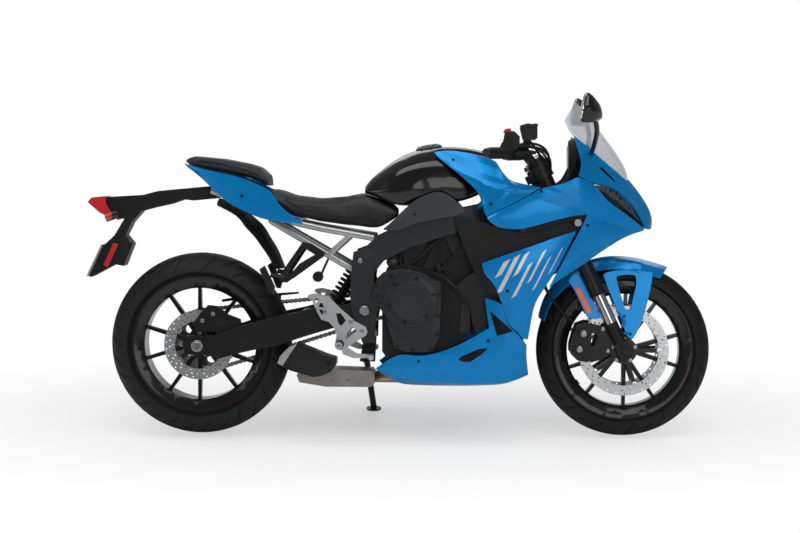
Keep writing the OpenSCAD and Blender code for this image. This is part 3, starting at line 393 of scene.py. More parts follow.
@cache
def copies_tree():
    """Node tree that sets one copy of a part on each point, turned and sized by the point's own values."""
    tree, start, end = geometry_tree(
        "place_copies", (("Points", "Geometry"), ("Part", "Object"), ("Size", "Float"), ("Finish", "Material")),
        "Copies")
    add, link = tree.nodes.new, tree.links.new
    part = add("GeometryNodeObjectInfo")
    part.inputs["As Instance"].default_value = True
    turn, size = add("GeometryNodeInputNamedAttribute"), add("GeometryNodeInputNamedAttribute")
    turn.data_type = size.data_type = "FLOAT_VECTOR"
    turn.inputs["Name"].default_value = "turn"
    size.inputs["Name"].default_value = "size"
    euler = add("FunctionNodeEulerToRotation")
    grow = add("ShaderNodeVectorMath")
    grow.operation = "SCALE"
    place = add("GeometryNodeInstanceOnPoints")
    link(start.outputs["Part"], part.inputs["Object"])
    link(turn.outputs["Attribute"], euler.inputs[0])
    link(size.outputs["Attribute"], grow.inputs[0])
    link(start.outputs["Size"], grow.inputs["Scale"])
    link(start.outputs["Points"], place.inputs["Points"])
    link(part.outputs["Geometry"], place.inputs["Instance"])
    link(euler.outputs[0], place.inputs["Rotation"])
    link(grow.outputs[0], place.inputs["Scale"])
    return end_tree(tree, start, end, place.outputs[0])


@cache
def holes_tree():
    """Node tree that takes the cutters out of a flat disc."""
    tree, start, end = geometry_tree(
        "drill_rings", (("Disc", "Geometry"), ("Cutters", "Object"), ("Finish", "Material")), "Drilled")
    tools, cut = tree.nodes.new("GeometryNodeObjectInfo"), tree.nodes.new("GeometryNodeMeshBoolean")
    cut.operation = "DIFFERENCE"
    cut.solver = "MANIFOLD"
    tree.links.new(start.outputs["Cutters"], tools.inputs["Object"])
    tree.links.new(start.outputs["Disc"], cut.inputs["Mesh 1"])
    tree.links.new(tools.outputs["Geometry"], cut.inputs["Mesh 2"])
    return end_tree(tree, start, end, cut.outputs["Mesh"])


def through(mesh, tree, values):
    """Passes a mesh through a geometry node tree, with values for its named inputs, and gives the result."""
    holder = linked("through", mesh)
    modifier = holder.modifiers.new("Nodes", "NODES")
    modifier.node_group = tree
    for item in tree.interface.items_tree:
        if item.item_type == "SOCKET" and item.in_out == "INPUT" and item.name in values:
            modifier[item.identifier] = values[item.name]
    result = evaluated(holder)
    bpy.data.objects.remove(holder)
    return result


def stamped(name, part, places, material):
    """A mesh with one copy of part at each (point, turn, (x, y, z) size)."""
    points = bpy.data.meshes.new(name)
    points.from_pydata([tuple(point) for point, _, _ in places], [], [])
    turn = points.attributes.new("turn", "FLOAT_VECTOR", "POINT")
    grow = points.attributes.new("size", "FLOAT_VECTOR", "POINT")
    for i, (_, euler, scale) in enumerate(places):
        turn.data[i].vector = tuple(euler)
        grow.data[i].vector = tuple(scale)
    stamp = linked(name + "_part", part)
    result = through(points, copies_tree(), {"Part": stamp, "Size": 1.0, "Finish": material})
    bpy.data.objects.remove(stamp)
    return result


def copies(name, part, places, material, body, smooth=40.0):
    """A piece made of copies of a part."""
    return piece(name, stamped(name, part, places, material), material, body, (), smooth)


def drilled(node, material, part, places):
    """Dresses a disc node with a hole where a part stands at each place."""
    cutters = linked(node + "_cutters", stamped(node + "_holes", part, places, material))
    mesh = through(as_mesh(node + "_plain", cad_shape(node)), holes_tree(), {"Cutters": cutters, "Finish": material})
    bpy.data.objects.remove(cutters)
    clean = bmesh.new()
    clean.from_mesh(mesh)
    bmesh.ops.remove_doubles(clean, verts=clean.verts, dist=CAD_MERGE)
    bmesh.ops.dissolve_degenerate(clean, edges=clean.edges, dist=CAD_MERGE)
    clean.to_mesh(mesh)
    clean.free()
    return piece(node + "_skin", mesh, material, BODY_OF[node], (node,), 30.0)


def facing(direction):
    """Euler turn that brings a part's +Z to a direction."""
    return Vector(direction).to_track_quat("Z", "Y").to_euler()


def put(place, ahead, scale=(1, 1, 1)):
    """A copy's place at a point in millimetres on the upright bike, with its +Z along a direction there."""
    return at(*place), facing(way(*ahead)), scale


def seated(spots, nodes, sides=(-1, 1), scale=1.0):
    """Places on the nodes' surface for (x, z) spots, on each side asked for."""
    places = []
    for x, z in spots:
        for side in sides:
            point, normal = seat(x, z, side, nodes)
            places.append((point, facing(normal), (scale,) * 3))
    return places


def ring_spots(axle, r, count, start=0.0):
    """(x, z) spots round an axle at (x, y, z), the first turned by start degrees."""
    turns = [math.radians(start) + math.tau * k / count for k in range(count)]
    return [(axle[0] + r * math.cos(a), axle[2] + r * math.sin(a)) for a in turns]


# Shader helpers


def new_material(name):
    made = bpy.data.materials.new(name)
    made.use_nodes = True
    return made, made.node_tree, made.node_tree.nodes["Principled BSDF"]


def fill(tree, node, **values):
    """Sets inputs named with underscores for spaces: a socket is linked, anything else is the input's value."""
    for label, value in values.items():
        socket = node.inputs[label.replace("_", " ")]
        if isinstance(value, bpy.types.NodeSocket):
            tree.links.new(value, socket)
        else:
            socket.default_value = value
    return node


def add_node(tree, kind, **values):
    """A new shader node with its inputs filled."""
    return fill(tree, tree.nodes.new("ShaderNode" + kind), **values)


def use(tree, made, **values):
    """Adds a shader group node with its own values."""
    node = tree.nodes.new("ShaderNodeGroup")
    node.node_tree = made
    return fill(tree, node, **values)


def maths(tree, kind, *values):
    """Result of a math node on sockets or numbers."""
    node = tree.nodes.new("ShaderNodeMath")
    node.operation = kind
    for socket, value in zip(node.inputs, values):
        if isinstance(value, bpy.types.NodeSocket):
            tree.links.new(value, socket)
        else:
            socket.default_value = value
    return node.outputs[0]


def clamped(tree, value):
    """A value kept from 0 to 1."""
    return add_node(tree, "Clamp", Value=value).outputs[0]


def object_place(tree):
    return tree.nodes.new("ShaderNodeTexCoord").outputs["Object"]


def group(name, inputs, outputs):
    """A new shader group with named float inputs and outputs, and its two end nodes."""
    tree = bpy.data.node_groups.new(name, "ShaderNodeTree")
    for label, value in inputs:
        tree.interface.new_socket(label, in_out="INPUT", socket_type="NodeSocketFloat").default_value = value
    for label in outputs:
        tree.interface.new_socket(label, in_out="OUTPUT", socket_type="NodeSocketFloat")
    return tree, tree.nodes.new("NodeGroupInput"), tree.nodes.new("NodeGroupOutput")


@cache
def bike_place():
    """Shader group: place on the upright bike, in metres."""
    tree, _, end = group("bike_place", (), ("X", "Y", "Z"))
    shift = add_node(tree, "VectorMath")
    shift.operation = "SUBTRACT"
    shift.inputs[1].default_value = tuple(PARKED.translation)
    tree.links.new(object_place(tree), shift.inputs[0])
    turn = add_node(tree, "VectorRotate", Vector=shift.outputs[0], Angle=LEAN)
    turn.rotation_type = "X_AXIS"
    split = add_node(tree, "SeparateXYZ", Vector=turn.outputs[0])
    fill(tree, end, X=split.outputs["X"], Y=split.outputs["Y"], Z=split.outputs["Z"])
    return tree


@cache
def wheel_place():
    """Shader group: distance from a wheel's axle."""
    tree, start, end = group("wheel_place", (("Axle X", 0.0), ("Axle Z", 0.0)), ("Radius",))
    place = use(tree, bike_place())
    dx = maths(tree, "SUBTRACT", place.outputs["X"], start.outputs["Axle X"])
    dz = maths(tree, "SUBTRACT", place.outputs["Z"], start.outputs["Axle Z"])
    square = maths(tree, "ADD", maths(tree, "MULTIPLY", dx, dx), maths(tree, "MULTIPLY", dz, dz))
    fill(tree, end, Radius=maths(tree, "SQRT", square))
    return tree


@cache
def surface_change():
    """Shader group: cloudy change of tone and roughness, with a fine height for grain."""
    tree, start, end = group(
        "surface_change", (("Cloud scale", 9.0), ("Grain scale", 900.0), ("Roughness", 0.4), ("Spread", 0.08)),
        ("Tone", "Roughness", "Height"))
    place = object_place(tree)
    cloud = add_node(tree, "TexNoise", Vector=place, Scale=start.outputs["Cloud scale"], Detail=4.0)
    grain = add_node(tree, "TexNoise", Vector=place, Scale=start.outputs["Grain scale"], Detail=2.0)
    centred = maths(tree, "SUBTRACT", cloud.outputs["Fac"], 0.5)
    rough = maths(tree, "MULTIPLY_ADD", centred, start.outputs["Spread"], start.outputs["Roughness"])
    fill(tree, end, Tone=cloud.outputs["Fac"], Roughness=rough, Height=grain.outputs["Fac"])
    return tree


@cache
def edge_wear():
    """Shader group: mask of the edges where paint thins and metal shines."""
    tree, start, end = group("edge_wear", (("Amount", 0.5), ("Scale", 60.0)), ("Mask",))
    shape = add_node(tree, "NewGeometry")
    noise = add_node(tree, "TexNoise", Vector=object_place(tree), Scale=start.outputs["Scale"])
    raised = maths(tree, "SUBTRACT", shape.outputs["Pointiness"], 0.53)
    steep = maths(tree, "MULTIPLY", raised, 9.0)
    broken = clamped(tree, maths(tree, "MULTIPLY", steep, noise.outputs["Fac"]))
    fill(tree, end, Mask=maths(tree, "MULTIPLY", broken, start.outputs["Amount"]))
    return tree


def blend_colour(tree, mask, a, b):
    """Mixes two colours by a mask; each colour is a socket or an (r, g, b)."""
    mix = tree.nodes.new("ShaderNodeMix")
    mix.data_type = "RGBA"
    tree.links.new(mask, mix.inputs[0])
    for socket, value in ((mix.inputs[6], a), (mix.inputs[7], b)):
        if isinstance(value, bpy.types.NodeSocket):
            tree.links.new(value, socket)
        else:
            socket.default_value = (*value, 1.0)
    return mix.outputs[2]


def scaled(rgb, k):
    return tuple(min(1.0, c * k) for c in rgb)


def bump(tree, shader, height, depth):
    """Gives a shader relief from a height, over a depth in metres."""
    fill(tree, shader, Normal=add_node(tree, "Bump", Height=height, Distance=depth).outputs[0])


def clouded(name, cloud, grain, rough, spread):
    """A new material with its node tree, its shader and the change of surface that sets its roughness."""
    made, tree, shader = new_material(name)
    change = use(tree, surface_change(), Cloud_scale=cloud, Grain_scale=grain, Roughness=rough, Spread=spread)
    fill(tree, shader, Roughness=change.outputs["Roughness"])
    return made, tree, shader, change


def finish(name, rgb, rough, grain=900.0, depth=0.00002, tone=0.12, spread=0.08, wear=0.0, wear_rgb=None, metal=0.0,
           coat=0.0, cloud=9.0):
    """A finish with cloudy tone, grain and worn edges."""
    made, tree, shader, change = clouded(name, cloud, grain, rough, spread)
    base = blend_colour(tree, change.outputs["Tone"], scaled(rgb, 1 - tone), scaled(rgb, 1 + tone))
    if wear:
        worn = use(tree, edge_wear(), Amount=wear)
        base = blend_colour(tree, worn.outputs["Mask"], base, wear_rgb or scaled(rgb, 3.0))
    fill(tree, shader, Base_Color=base, Metallic=metal, Specular_IOR_Level=0.3)
    if coat:
        fill(tree, shader, Coat_Weight=coat, Coat_Roughness=0.04)
    if depth:
        bump(tree, shader, change.outputs["Height"], depth)
    return made


def line_distance(tree, place, a, b):
    """Distance in metres to the left of the line from a to b, both (x, z) in millimetres."""
    ax, az, bx, bz = (v * MM for v in (*a, *b))
    size = math.hypot(bx - ax, bz - az)
    nx, nz = -(bz - az) / size, (bx - ax) / size
    along = maths(tree, "MULTIPLY_ADD", place.outputs["X"], nx, -(ax * nx + az * nz))
    return maths(tree, "MULTIPLY_ADD", place.outputs["Z"], nz, along)


def side_of(tree, place, a, b):
    """Mask that is 1 to the left of a line."""
    return maths(tree, "GREATER_THAN", line_distance(tree, place, a, b), 0.0)


def folded(tree, place, folds, height):
    """Adds panel folds to a height: each rises to the left of its line over a width, in millimetres."""
    for a, b, width, rise in folds:
        share = maths(tree, "DIVIDE", line_distance(tree, place, a, b), width * MM)
        height = maths(tree, "MULTIPLY_ADD", clamped(tree, share), rise * MM, height)
    return height


def inside(tree, place, corners):
    """Mask of a convex outline whose corners run anticlockwise seen from the right side."""
    mask = None
    for a, b in zip(corners, corners[1:] + corners[:1]):
        edge = side_of(tree, place, a, b)
        mask = edge if mask is None else maths(tree, "MULTIPLY", mask, edge)
    return mask


# Finishes

# Plain ones: name, then colour, roughness and what differs from the usual values
PLAIN = {
    "dark_plastic": ((0.0075, 0.0078, 0.0085), 0.50, dict(grain=1400, depth=0.00006, tone=0.25, wear=0.15)),
    "satin_black": ((0.009, 0.0093, 0.010), 0.36,
                    dict(grain=700, tone=0.25, wear=0.25, wear_rgb=(0.09, 0.09, 0.095))),
    "engine_black": ((0.010, 0.0103, 0.0112), 0.44,
                     dict(grain=420, depth=0.00012, tone=0.35, wear=0.35, wear_rgb=(0.12, 0.12, 0.125), metal=0.3)),
    "cover_black": ((0.036, 0.037, 0.039), 0.36,
                    dict(grain=500, depth=0.00006, tone=0.25, wear=0.5, wear_rgb=(0.16, 0.16, 0.165), metal=0.55)),
    "silver_paint": ((0.47, 0.48, 0.49), 0.36, dict(grain=1100, tone=0.08, metal=0.75)),
    "cast_aluminium": ((0.55, 0.56, 0.57), 0.38, dict(grain=380, depth=0.00008, tone=0.1, metal=0.9)),
    "bright_steel": ((0.62, 0.62, 0.63), 0.22, dict(grain=1600, depth=0.00001, tone=0.08, metal=1.0)),
    "bolt_steel": ((0.34, 0.34, 0.35), 0.30, dict(grain=1500, depth=0.00001, tone=0.2, metal=0.95)),
    "bolt_black": ((0.022, 0.022, 0.024), 0.35, dict(grain=1500, depth=0.00001, tone=0.2, metal=0.6)),
    "rim_black_plain": ((0.006, 0.006, 0.007), 0.26, dict(depth=0.00001, tone=0.2, coat=0.4)),
    "mirror_glass": ((0.86, 0.87, 0.88), 0.03, dict(depth=0, tone=0.02, metal=1.0, spread=0.01)),
    "screen_glass": ((0.004, 0.005, 0.008), 0.06, dict(depth=0, tone=0.2, coat=1.0, spread=0.02)),
    "red_switch": ((0.45, 0.008, 0.010), 0.35, dict(grain=1500, depth=0.00001, tone=0.1)),
    "rubber": ((0.008, 0.008, 0.0083), 0.60, dict(grain=1500, depth=0.00005, tone=0.2)),
    "plate_paint": ((0.62, 0.63, 0.64), 0.35, dict(grain=600, depth=0.00001, tone=0.05, metal=0.3)),
    "tyre_rubber": ((0.0075, 0.0075, 0.0078), 0.62,
                    dict(grain=700, depth=0.00010, tone=0.3, spread=0.18, cloud=5.0)),
}


@cache
def plain(name):
    """One of the plain finishes."""
    rgb, rough, values = PLAIN[name]
    return finish(name, rgb, rough, **values)


def paints():
    return bpy.context.scene.bike_paint


@cache
def gloss_black():
    return finish("gloss_black", tuple(paints().dark), 0.18, depth=0, coat=0.6, tone=0.3, spread=0.05)


@cache
def grey_plastic():
    return finish("grey_plastic", tuple(paints().grey), 0.42, grain=1200, depth=0.00004, tone=0.08)


@cache
def frame_grey():
    return finish("frame_grey", scaled(tuple(paints().grey), 0.8), 0.40, grain=500, depth=0.00004, tone=0.15,
                  wear=0.3, wear_rgb=(0.25, 0.25, 0.26), metal=0.4)


@cache
def body_paint(name="body_paint", folds=(), dark=(), graphic=()):
    """Clear-coated paint with panel folds, dark zones and pale bars, given as (x, z) outlines in millimetres. The dark
    zones are slots and vents, and also painted shade where a panel lies in shadow.
    """
    made, tree, shader, change = clouded(name, 3.0, 2600.0, 0.30, 0.05)
    paint = tuple(paints().body)
    place = use(tree, bike_place())
    base = blend_colour(tree, change.outputs["Tone"], scaled(paint, 0.94), scaled(paint, 1.06))
    # The dark zones take the dark trim colour: some are slots and vents, and the belly's patch is painted shade
    for zones, rgb in ((graphic, tuple(paints().graphic)), (dark, tuple(paints().dark))):
        for corners in zones:
            base = blend_colour(tree, inside(tree, place, list(corners)), base, rgb)
    fill(tree, shader, Base_Color=base, Metallic=0.4, Specular_IOR_Level=0.15, Coat_Weight=paints().coat,
         Coat_Roughness=0.03)
    grain = maths(tree, "MULTIPLY", change.outputs["Height"], 0.000006)
    bump(tree, shader, folded(tree, place, folds, grain), 1.0)
    return made


def graphic_bars():
    """Outlines of a fan of slanted bars that thins out to the front, with a broken lower row."""
    bars = []
    rows = ((556, 622), (500, 638), (560, 648), (486, 612), (538, 656), (512, 634), (566, 664), (536, 640))
    for k, (low, high) in enumerate(rows):
        x, w, lean = 992 + 29 * k, 23 - 2.2 * k, 0.45
        bars.append(((x + (low - 500) * lean, low), (x + w + (low - 500) * lean, low + 12),
                     (x + w + (high - 500) * lean, high), (x + (high - 500) * lean, high - 12)))
    return tuple(bars)


@cache
def fork_leg_paint():
    """Chrome slider above a plane across the fork, black casting below it."""
    made, tree, shader, change = clouded("fork_leg_paint", 9.0, 1600.0, 0.12, 0.04)
    x, z = 1405, 392
    slope = (x + 100 * math.cos(RAKE), z + 100 * math.sin(RAKE))
    upper = side_of(tree, use(tree, bike_place()), (x, z), slope)
    base = blend_colour(tree, upper, (0.007, 0.007, 0.008), (0.72, 0.72, 0.73))
    rough = maths(tree, "MULTIPLY_ADD", maths(tree, "SUBTRACT", 1.0, upper), 0.3, change.outputs["Roughness"])
    fill(tree, shader, Base_Color=base, Metallic=upper, Roughness=rough, Specular_IOR_Level=0.3)
    return made


@cache
def rim_paint(name, axle):
    """Gloss black rim with a thin dark red ring near its edge."""
    made = plain("rim_black_plain").copy()
    made.name = name
    tree = made.node_tree
    shader = tree.nodes["Principled BSDF"]
    base = shader.inputs["Base Color"].links[0].from_socket
    place = use(tree, wheel_place(), Axle_X=axle[0] * MM, Axle_Z=axle[2] * MM)
    ring = maths(tree, "COMPARE", place.outputs["Radius"], 0.2275, 0.0022)
    fill(tree, shader, Base_Color=blend_colour(tree, ring, base, (0.030, 0.003, 0.005)))
    return made


@cache
def muffler_metal():
    """Black muffler with a bright end cap, and a pale heat shield between the sides."""
    made, tree, shader, change = clouded("muffler_metal", 14.0, 700.0, 0.38, 0.12)
    place = use(tree, bike_place())
    cap = side_of(tree, place, (300, 258), (344, 326))
    shield = maths(tree, "LESS_THAN", maths(tree, "ABSOLUTE", place.outputs["Y"]), 0.0757)
    brown = blend_colour(tree, change.outputs["Tone"], (0.20, 0.17, 0.15), (0.46, 0.44, 0.42))
    base = blend_colour(tree, cap, (0.010, 0.010, 0.011), (0.55, 0.55, 0.56))
    fill(tree, shader, Base_Color=blend_colour(tree, shield, base, brown),
         Metallic=maths(tree, "MULTIPLY_ADD", maths(tree, "MAXIMUM", cap, shield), 0.6, 0.2))
    bump(tree, shader, change.outputs["Height"], 0.00004)
    return made


@cache
def signal_plastic():
    """Black stalks, pale front lenses and red rear lenses."""
    made, tree, shader, _ = clouded("signal_plastic", 20.0, 900.0, 0.25, 0.1)
    place = use(tree, bike_place())
    outer = maths(tree, "GREATER_THAN", maths(tree, "ABSOLUTE", place.outputs["Y"]), 0.2255)
    rear = maths(tree, "LESS_THAN", place.outputs["X"], -0.296)
    base = blend_colour(tree, outer, (0.009, 0.009, 0.010), (0.20, 0.19, 0.18))
    fill(tree, shader, Base_Color=blend_colour(tree, rear, base, (0.50, 0.045, 0.012)), Coat_Weight=0.6)
    return made


@cache
def fine_fins():
    """Black radiator core with close upright fins."""
    made, tree, shader = new_material("fine_fins")
    place = use(tree, bike_place())
    wave = maths(tree, "SINE", maths(tree, "MULTIPLY", place.outputs["Y"], 1900.0))
    bars = maths(tree, "SINE", maths(tree, "MULTIPLY", place.outputs["Z"], 520.0))
    tone = maths(tree, "MULTIPLY_ADD", maths(tree, "ADD", wave, bars), 0.2, 0.5)
    base = blend_colour(tree, tone, (0.006, 0.006, 0.007), (0.030, 0.030, 0.033))
    fill(tree, shader, Base_Color=base, Roughness=0.45)
    bump(tree, shader, wave, 0.0006)
    return made


@cache
def heated_steel():
    """Bare steel that has turned straw and brown with heat."""
    made, tree, shader, change = clouded("heated_steel", 7.0, 900.0, 0.32, 0.15)
    ramp = add_node(tree, "ValToRGB", Fac=change.outputs["Tone"])
    stops = ramp.color_ramp.elements
    stops[0].position, stops[0].color = 0.30, (0.42, 0.40, 0.38, 1)
    stops[1].position, stops[1].color = 0.72, (0.22, 0.115, 0.06, 1)
    stops.new(0.5).color = (0.42, 0.29, 0.18, 1)
    fill(tree, shader, Base_Color=ramp.outputs["Color"], Metallic=0.9)
    bump(tree, shader, change.outputs["Height"], 0.00003)
    return made


@cache
def disc_steel(name, axle, inner):
    """Steel turned in fine rings round an axle, with a dark carrier inside a radius in millimetres."""
    made, tree, shader = new_material(name)
    place = use(tree, wheel_place(), Axle_X=axle[0] * MM, Axle_Z=axle[2] * MM)
    rings = tree.nodes.new("ShaderNodeTexNoise")
    rings.noise_dimensions = "1D"
    fill(tree, rings, W=place.outputs["Radius"], Detail=6.0, Scale=900.0)
    tone = blend_colour(tree, rings.outputs["Fac"], (0.40, 0.41, 0.42), (0.72, 0.73, 0.74))
    steel = maths(tree, "GREATER_THAN", place.outputs["Radius"], inner * MM)
    fill(tree, shader, Base_Color=blend_colour(tree, steel, (0.008, 0.008, 0.009), tone),
         Roughness=maths(tree, "MULTIPLY_ADD", rings.outputs["Fac"], 0.15, 0.22),
         Metallic=maths(tree, "MULTIPLY_ADD", steel, 0.7, 0.2))
    bump(tree, shader, rings.outputs["Fac"], 0.00004)
    return made


@cache
def seat_vinyl():
    """Black seat cover with a fine pebbled grain."""
    made, tree, shader, change = clouded("seat_vinyl", 6.0, 500.0, 0.56, 0.12)
    cells = add_node(tree, "TexVoronoi", Vector=object_place(tree), Scale=420.0)
    base = blend_colour(tree, change.outputs["Tone"], (0.006, 0.006, 0.0066), (0.015, 0.015, 0.016))
    fill(tree, shader, Base_Color=base)
    bump(tree, shader, cells.outputs["Distance"], 0.00025)
    return made


@cache
def clear(name, rgb):
    """Clear or tinted plastic."""
    made, tree, shader, change = clouded(name, 5.0, 300.0, 0.06, 0.02)
    base = blend_colour(tree, change.outputs["Tone"], scaled(rgb, 0.97), scaled(rgb, 1.03))
    fill(tree, shader, Base_Color=base, Coat_Weight=0.5, Alpha=0.32)
    return made


@cache
def lens(name, rgb):
    """Ribbed lamp lens."""
    made, tree, shader = new_material(name)
    place = use(tree, bike_place())
    ribs = maths(tree, "SINE", maths(tree, "MULTIPLY", place.outputs["Z"], 1400.0))
    tone = maths(tree, "MULTIPLY_ADD", ribs, 0.12, 0.5)
    fill(tree, shader, Base_Color=blend_colour(tree, tone, scaled(rgb, 0.7), scaled(rgb, 1.3)), Roughness=0.12,
         Coat_Weight=0.8)
    bump(tree, shader, ribs, 0.0002)
    return made


# Operators, one for each piece or group of like pieces


class BikeStep(bpy.types.Operator):
    """Base of the steps that dress the bike."""

    bl_idname = "bike.step"
    bl_label = "Bike step"
    bl_options = {"REGISTER", "UNDO"}

    def execute(self, context):
        self.make(context.scene)
        return {"FINISHED"}

    def make(self, scene):
        pass


class BIKE_OT_stage(BikeStep):
    """Sets the floor, the lights and the camera"""

    bl_idname = "bike.stage"
    bl_label = "Stage"

    def make(self, scene):
        scene.view_settings.view_transform = "Standard"
        cy, sy = math.cos(CAMERA_YAW), math.sin(CAMERA_YAW)
        cp, sp = math.cos(CAMERA_PITCH), math.sin(CAMERA_PITCH)
        ahead = Vector((-sy * cp, cy * cp, -sp))
        right = ahead.cross(Vector((0, 0, 1))).normalized()
        up = right.cross(ahead)
        cr, sr = math.cos(CAMERA_ROLL), math.sin(CAMERA_ROLL)
        right, up = right * cr + up * sr, up * cr - right * sr
        turn = Matrix((right, up, -ahead)).transposed()
        lens_data = bpy.data.cameras.new("camera")
        lens_data.lens = CAMERA_LENS
        lens_data.sensor_width = 36.0
        lens_data.sensor_fit = "HORIZONTAL"
        lens_data.clip_end = 100.0
        camera = bpy.data.objects.new("camera", lens_data)
        camera.matrix_world = Matrix.Translation(at(*CAMERA_PLACE)) @ (TURN @ turn).to_4x4()
        scene.collection.objects.link(camera)
        scene.camera = camera
        self.floor(scene)
        self.lights(scene)

    def floor(self, scene):
        mesh = bpy.data.meshes.new("floor")
        half = 30.0
        mesh.from_pydata([(-half, -half, 0), (half, -half, 0), (half, half, 0), (-half, half, 0)], [], [(0, 1, 2, 3)])
        floor = bpy.data.objects.new("floor", mesh)
        scene.collection.objects.link(floor)
        made, tree, shader = new_material("floor_paint")
        change = use(tree, surface_change(), Cloud_scale=0.6)
        base = blend_colour(tree, change.outputs["Tone"], (0.84, 0.84, 0.845), (0.86, 0.86, 0.865))
        tree.links.new(base, shader.inputs["Base Color"])
        shader.inputs["Specular IOR Level"].default_value = 0.2
        coords, away = tree.nodes.new("ShaderNodeTexCoord"), tree.nodes.new("ShaderNodeVectorMath")
        oval = tree.nodes.new("ShaderNodeVectorMath")
        oval.operation, away.operation = "MULTIPLY", "LENGTH"
        oval.inputs[1].default_value = (0.42, 1.0, 1.0)
        tree.links.new(coords.outputs["Object"], oval.inputs[0])
        tree.links.new(oval.outputs["Vector"], away.inputs[0])
        far = tree.nodes.new("ShaderNodeMapRange")
        far.inputs["From Min"].default_value, far.inputs["From Max"].default_value = 0.1, 0.9
        far.inputs["To Min"].default_value = 0.4
        path = tree.nodes.new("ShaderNodeLightPath")
        seen = maths(tree, "MAXIMUM", path.outputs["Is Camera Ray"], path.outputs["Is Transmission Ray"])
        tree.links.new(away.outputs["Value"], far.inputs["Value"])
        white, mix = tree.nodes.new("ShaderNodeEmission"), tree.nodes.new("ShaderNodeMixShader")
        tree.links.new(maths(tree, "MULTIPLY", far.outputs[0], seen), mix.inputs[0])
        tree.links.new(shader.outputs[0], mix.inputs[1])
        tree.links.new(white.outputs[0], mix.inputs[2])
        tree.links.new(mix.outputs[0], tree.nodes["Material Output"].inputs["Surface"])
        mesh.materials.append(made)

    def lights(self, scene):
        settings = scene.bike_light
        world = bpy.data.worlds.new("room")
        scene.world = world
        world.use_nodes = True
        tree = world.node_tree
        back = tree.nodes["Background"]
        back.inputs["Color"].default_value = (1.0, 1.0, 1.0, 1.0)
        path = tree.nodes.new("ShaderNodeLightPath")
        shown = maths(tree, "MAXIMUM", path.outputs["Is Camera Ray"], path.outputs["Is Transmission Ray"])
        power = maths(tree, "MULTIPLY_ADD", shown, 1.0 - settings.world, settings.world)
        power = maths(tree, "MULTIPLY_ADD", path.outputs["Is Glossy Ray"], -0.6 * settings.world, power)
        tree.links.new(power, back.inputs["Strength"])
        for name, place, target, size, watts in (
            ("top_light", (-0.2, -0.6, 3.6), (0, 0, 0.5), (4.6, 2.0), settings.key),
            ("side_light", (1.6, -4.6, 1.9), (0.1, 0, 0.5), (3.0, 2.2), settings.side),
            ("rear_light", (-3.8, -1.6, 1.8), (-0.2, 0, 0.6), (2.0, 2.0), settings.side * 0.5),
            ("far_light", (0.4, 4.2, 2.4), (0, 0, 0.5), (4.0, 2.2), settings.side * 0.9),
        ):
            data = bpy.data.lights.new(name, "AREA")
            data.shape = "RECTANGLE"
            data.size, data.size_y = size
            data.energy = watts
            lamp = bpy.data.objects.new(name, data)
            lamp.location = place
            lamp.rotation_euler = (Vector(target) - Vector(place)).to_track_quat("-Z", "Y").to_euler()
            scene.collection.objects.link(lamp)


# Panel folds: line's two ends (x, z), width and rise in millimetres, rising to the line's left; and dark zones: slots
# and vents, and a patch of painted shade on the belly
TAIL_FOLDS = (((-39, 932), (165, 868), 40, 9), ((240, 812), (316, 762), 50, 6))
SIDE_FOLDS = (((1153, 826), (1443, 730), 80, 20), ((1210, 850), (1512, 731), 14, 3),
              ((1489, 712), (1216, 594), 60, 12))
TANK_FOLDS = (((965, 856), (1100, 823), 35, 9), ((909, 932), (1048, 887), 30, 8))
NOSE_FOLDS = (((1358, 924), (1504, 803), 45, 10),)
BELLY_FOLDS = (((1022, 360), (953, 273), 40, 8), ((700, 262), (960, 266), 30, 7))
NOSE_SLOT = ((1368, 932), (1395, 906), (1424, 882), (1429, 884), (1383, 929))
BELLY_VENT = ((894, 276), (914, 268), (936, 268), (974, 294), (996, 316), (966, 314), (905, 287))
# Painted shade: a dark patch on the belly pan where it lies in shadow below the lower fairing
BELLY_PAINTED_SHADE = ((1026, 358), (1082, 374), (1060, 393), (1000, 447))


class BIKE_OT_panels(BikeStep):
    """Makes the painted panels, the tank and the plastic covers"""

    bl_idname = "bike.panels"
    bl_label = "Panels and tank"

    def make(self, scene):
        shell("tail_panels", body_paint("tail_paint", TAIL_FOLDS))
        shell("tank_panels", body_paint("tank_side_paint", TANK_FOLDS))
        shell("upper_fairings", body_paint("side_paint", SIDE_FOLDS))
        shell("lower_fairings", body_paint("graphic_paint", (), (), graphic_bars()))
        # The belly's paint holds a vent and a patch of painted shade
        shell("belly_pan", body_paint("belly_paint", BELLY_FOLDS, (BELLY_VENT, BELLY_PAINTED_SHADE)))
        shell("nose_cowl", body_paint("nose_paint", NOSE_FOLDS, (NOSE_SLOT,)))
        shell("fuel_tank", gloss_black())
        shell("side_covers", grey_plastic())
        shell("inner_panels", plain("dark_plastic"))
        shell("front_fender", body_paint())
        shell("rear_fender", plain("dark_plastic"), levels=1)
        self.filler_cap()
        self.liners()

    def liners(self):
        """Thin dark sheets behind the slots between the panels."""
        slot = [(1120, 700), (1330, 742), (1330, 775), (1290, 785), (1120, 742)]
        sheets = [prism(slot, side * 166 - 1.2, side * 166 + 1.2) for side in (-1, 1)]
        piece("slot_liners", merged(sheets), plain("dark_plastic"), "chassis", ())

    def filler_cap(self):
        cap = spun([(0, 9), (26, 9), (27, 8), (27, 6), (36, 6), (44, 3), (46, -3), (0, -3)], 48)
        point, normal = seat_top(790, 0, ("fuel_tank",), 1.0)
        turn = facing(normal)
        copies("filler_cap", cap, [(point, turn, (1, 1, 1))], plain("satin_black"), "chassis")
        x = normal.orthogonal().normalized()
        y = normal.cross(x)
        bolts = [(point + (normal * 6 + (x * math.cos(a) + y * math.sin(a)) * 36) * MM, turn, (1, 1, 1))
                 for a in (k * math.tau / 6 for k in range(6))]
        copies("filler_cap_bolts", socket_bolt(3.5, 2.5, 12), bolts, plain("bolt_steel"), "chassis")


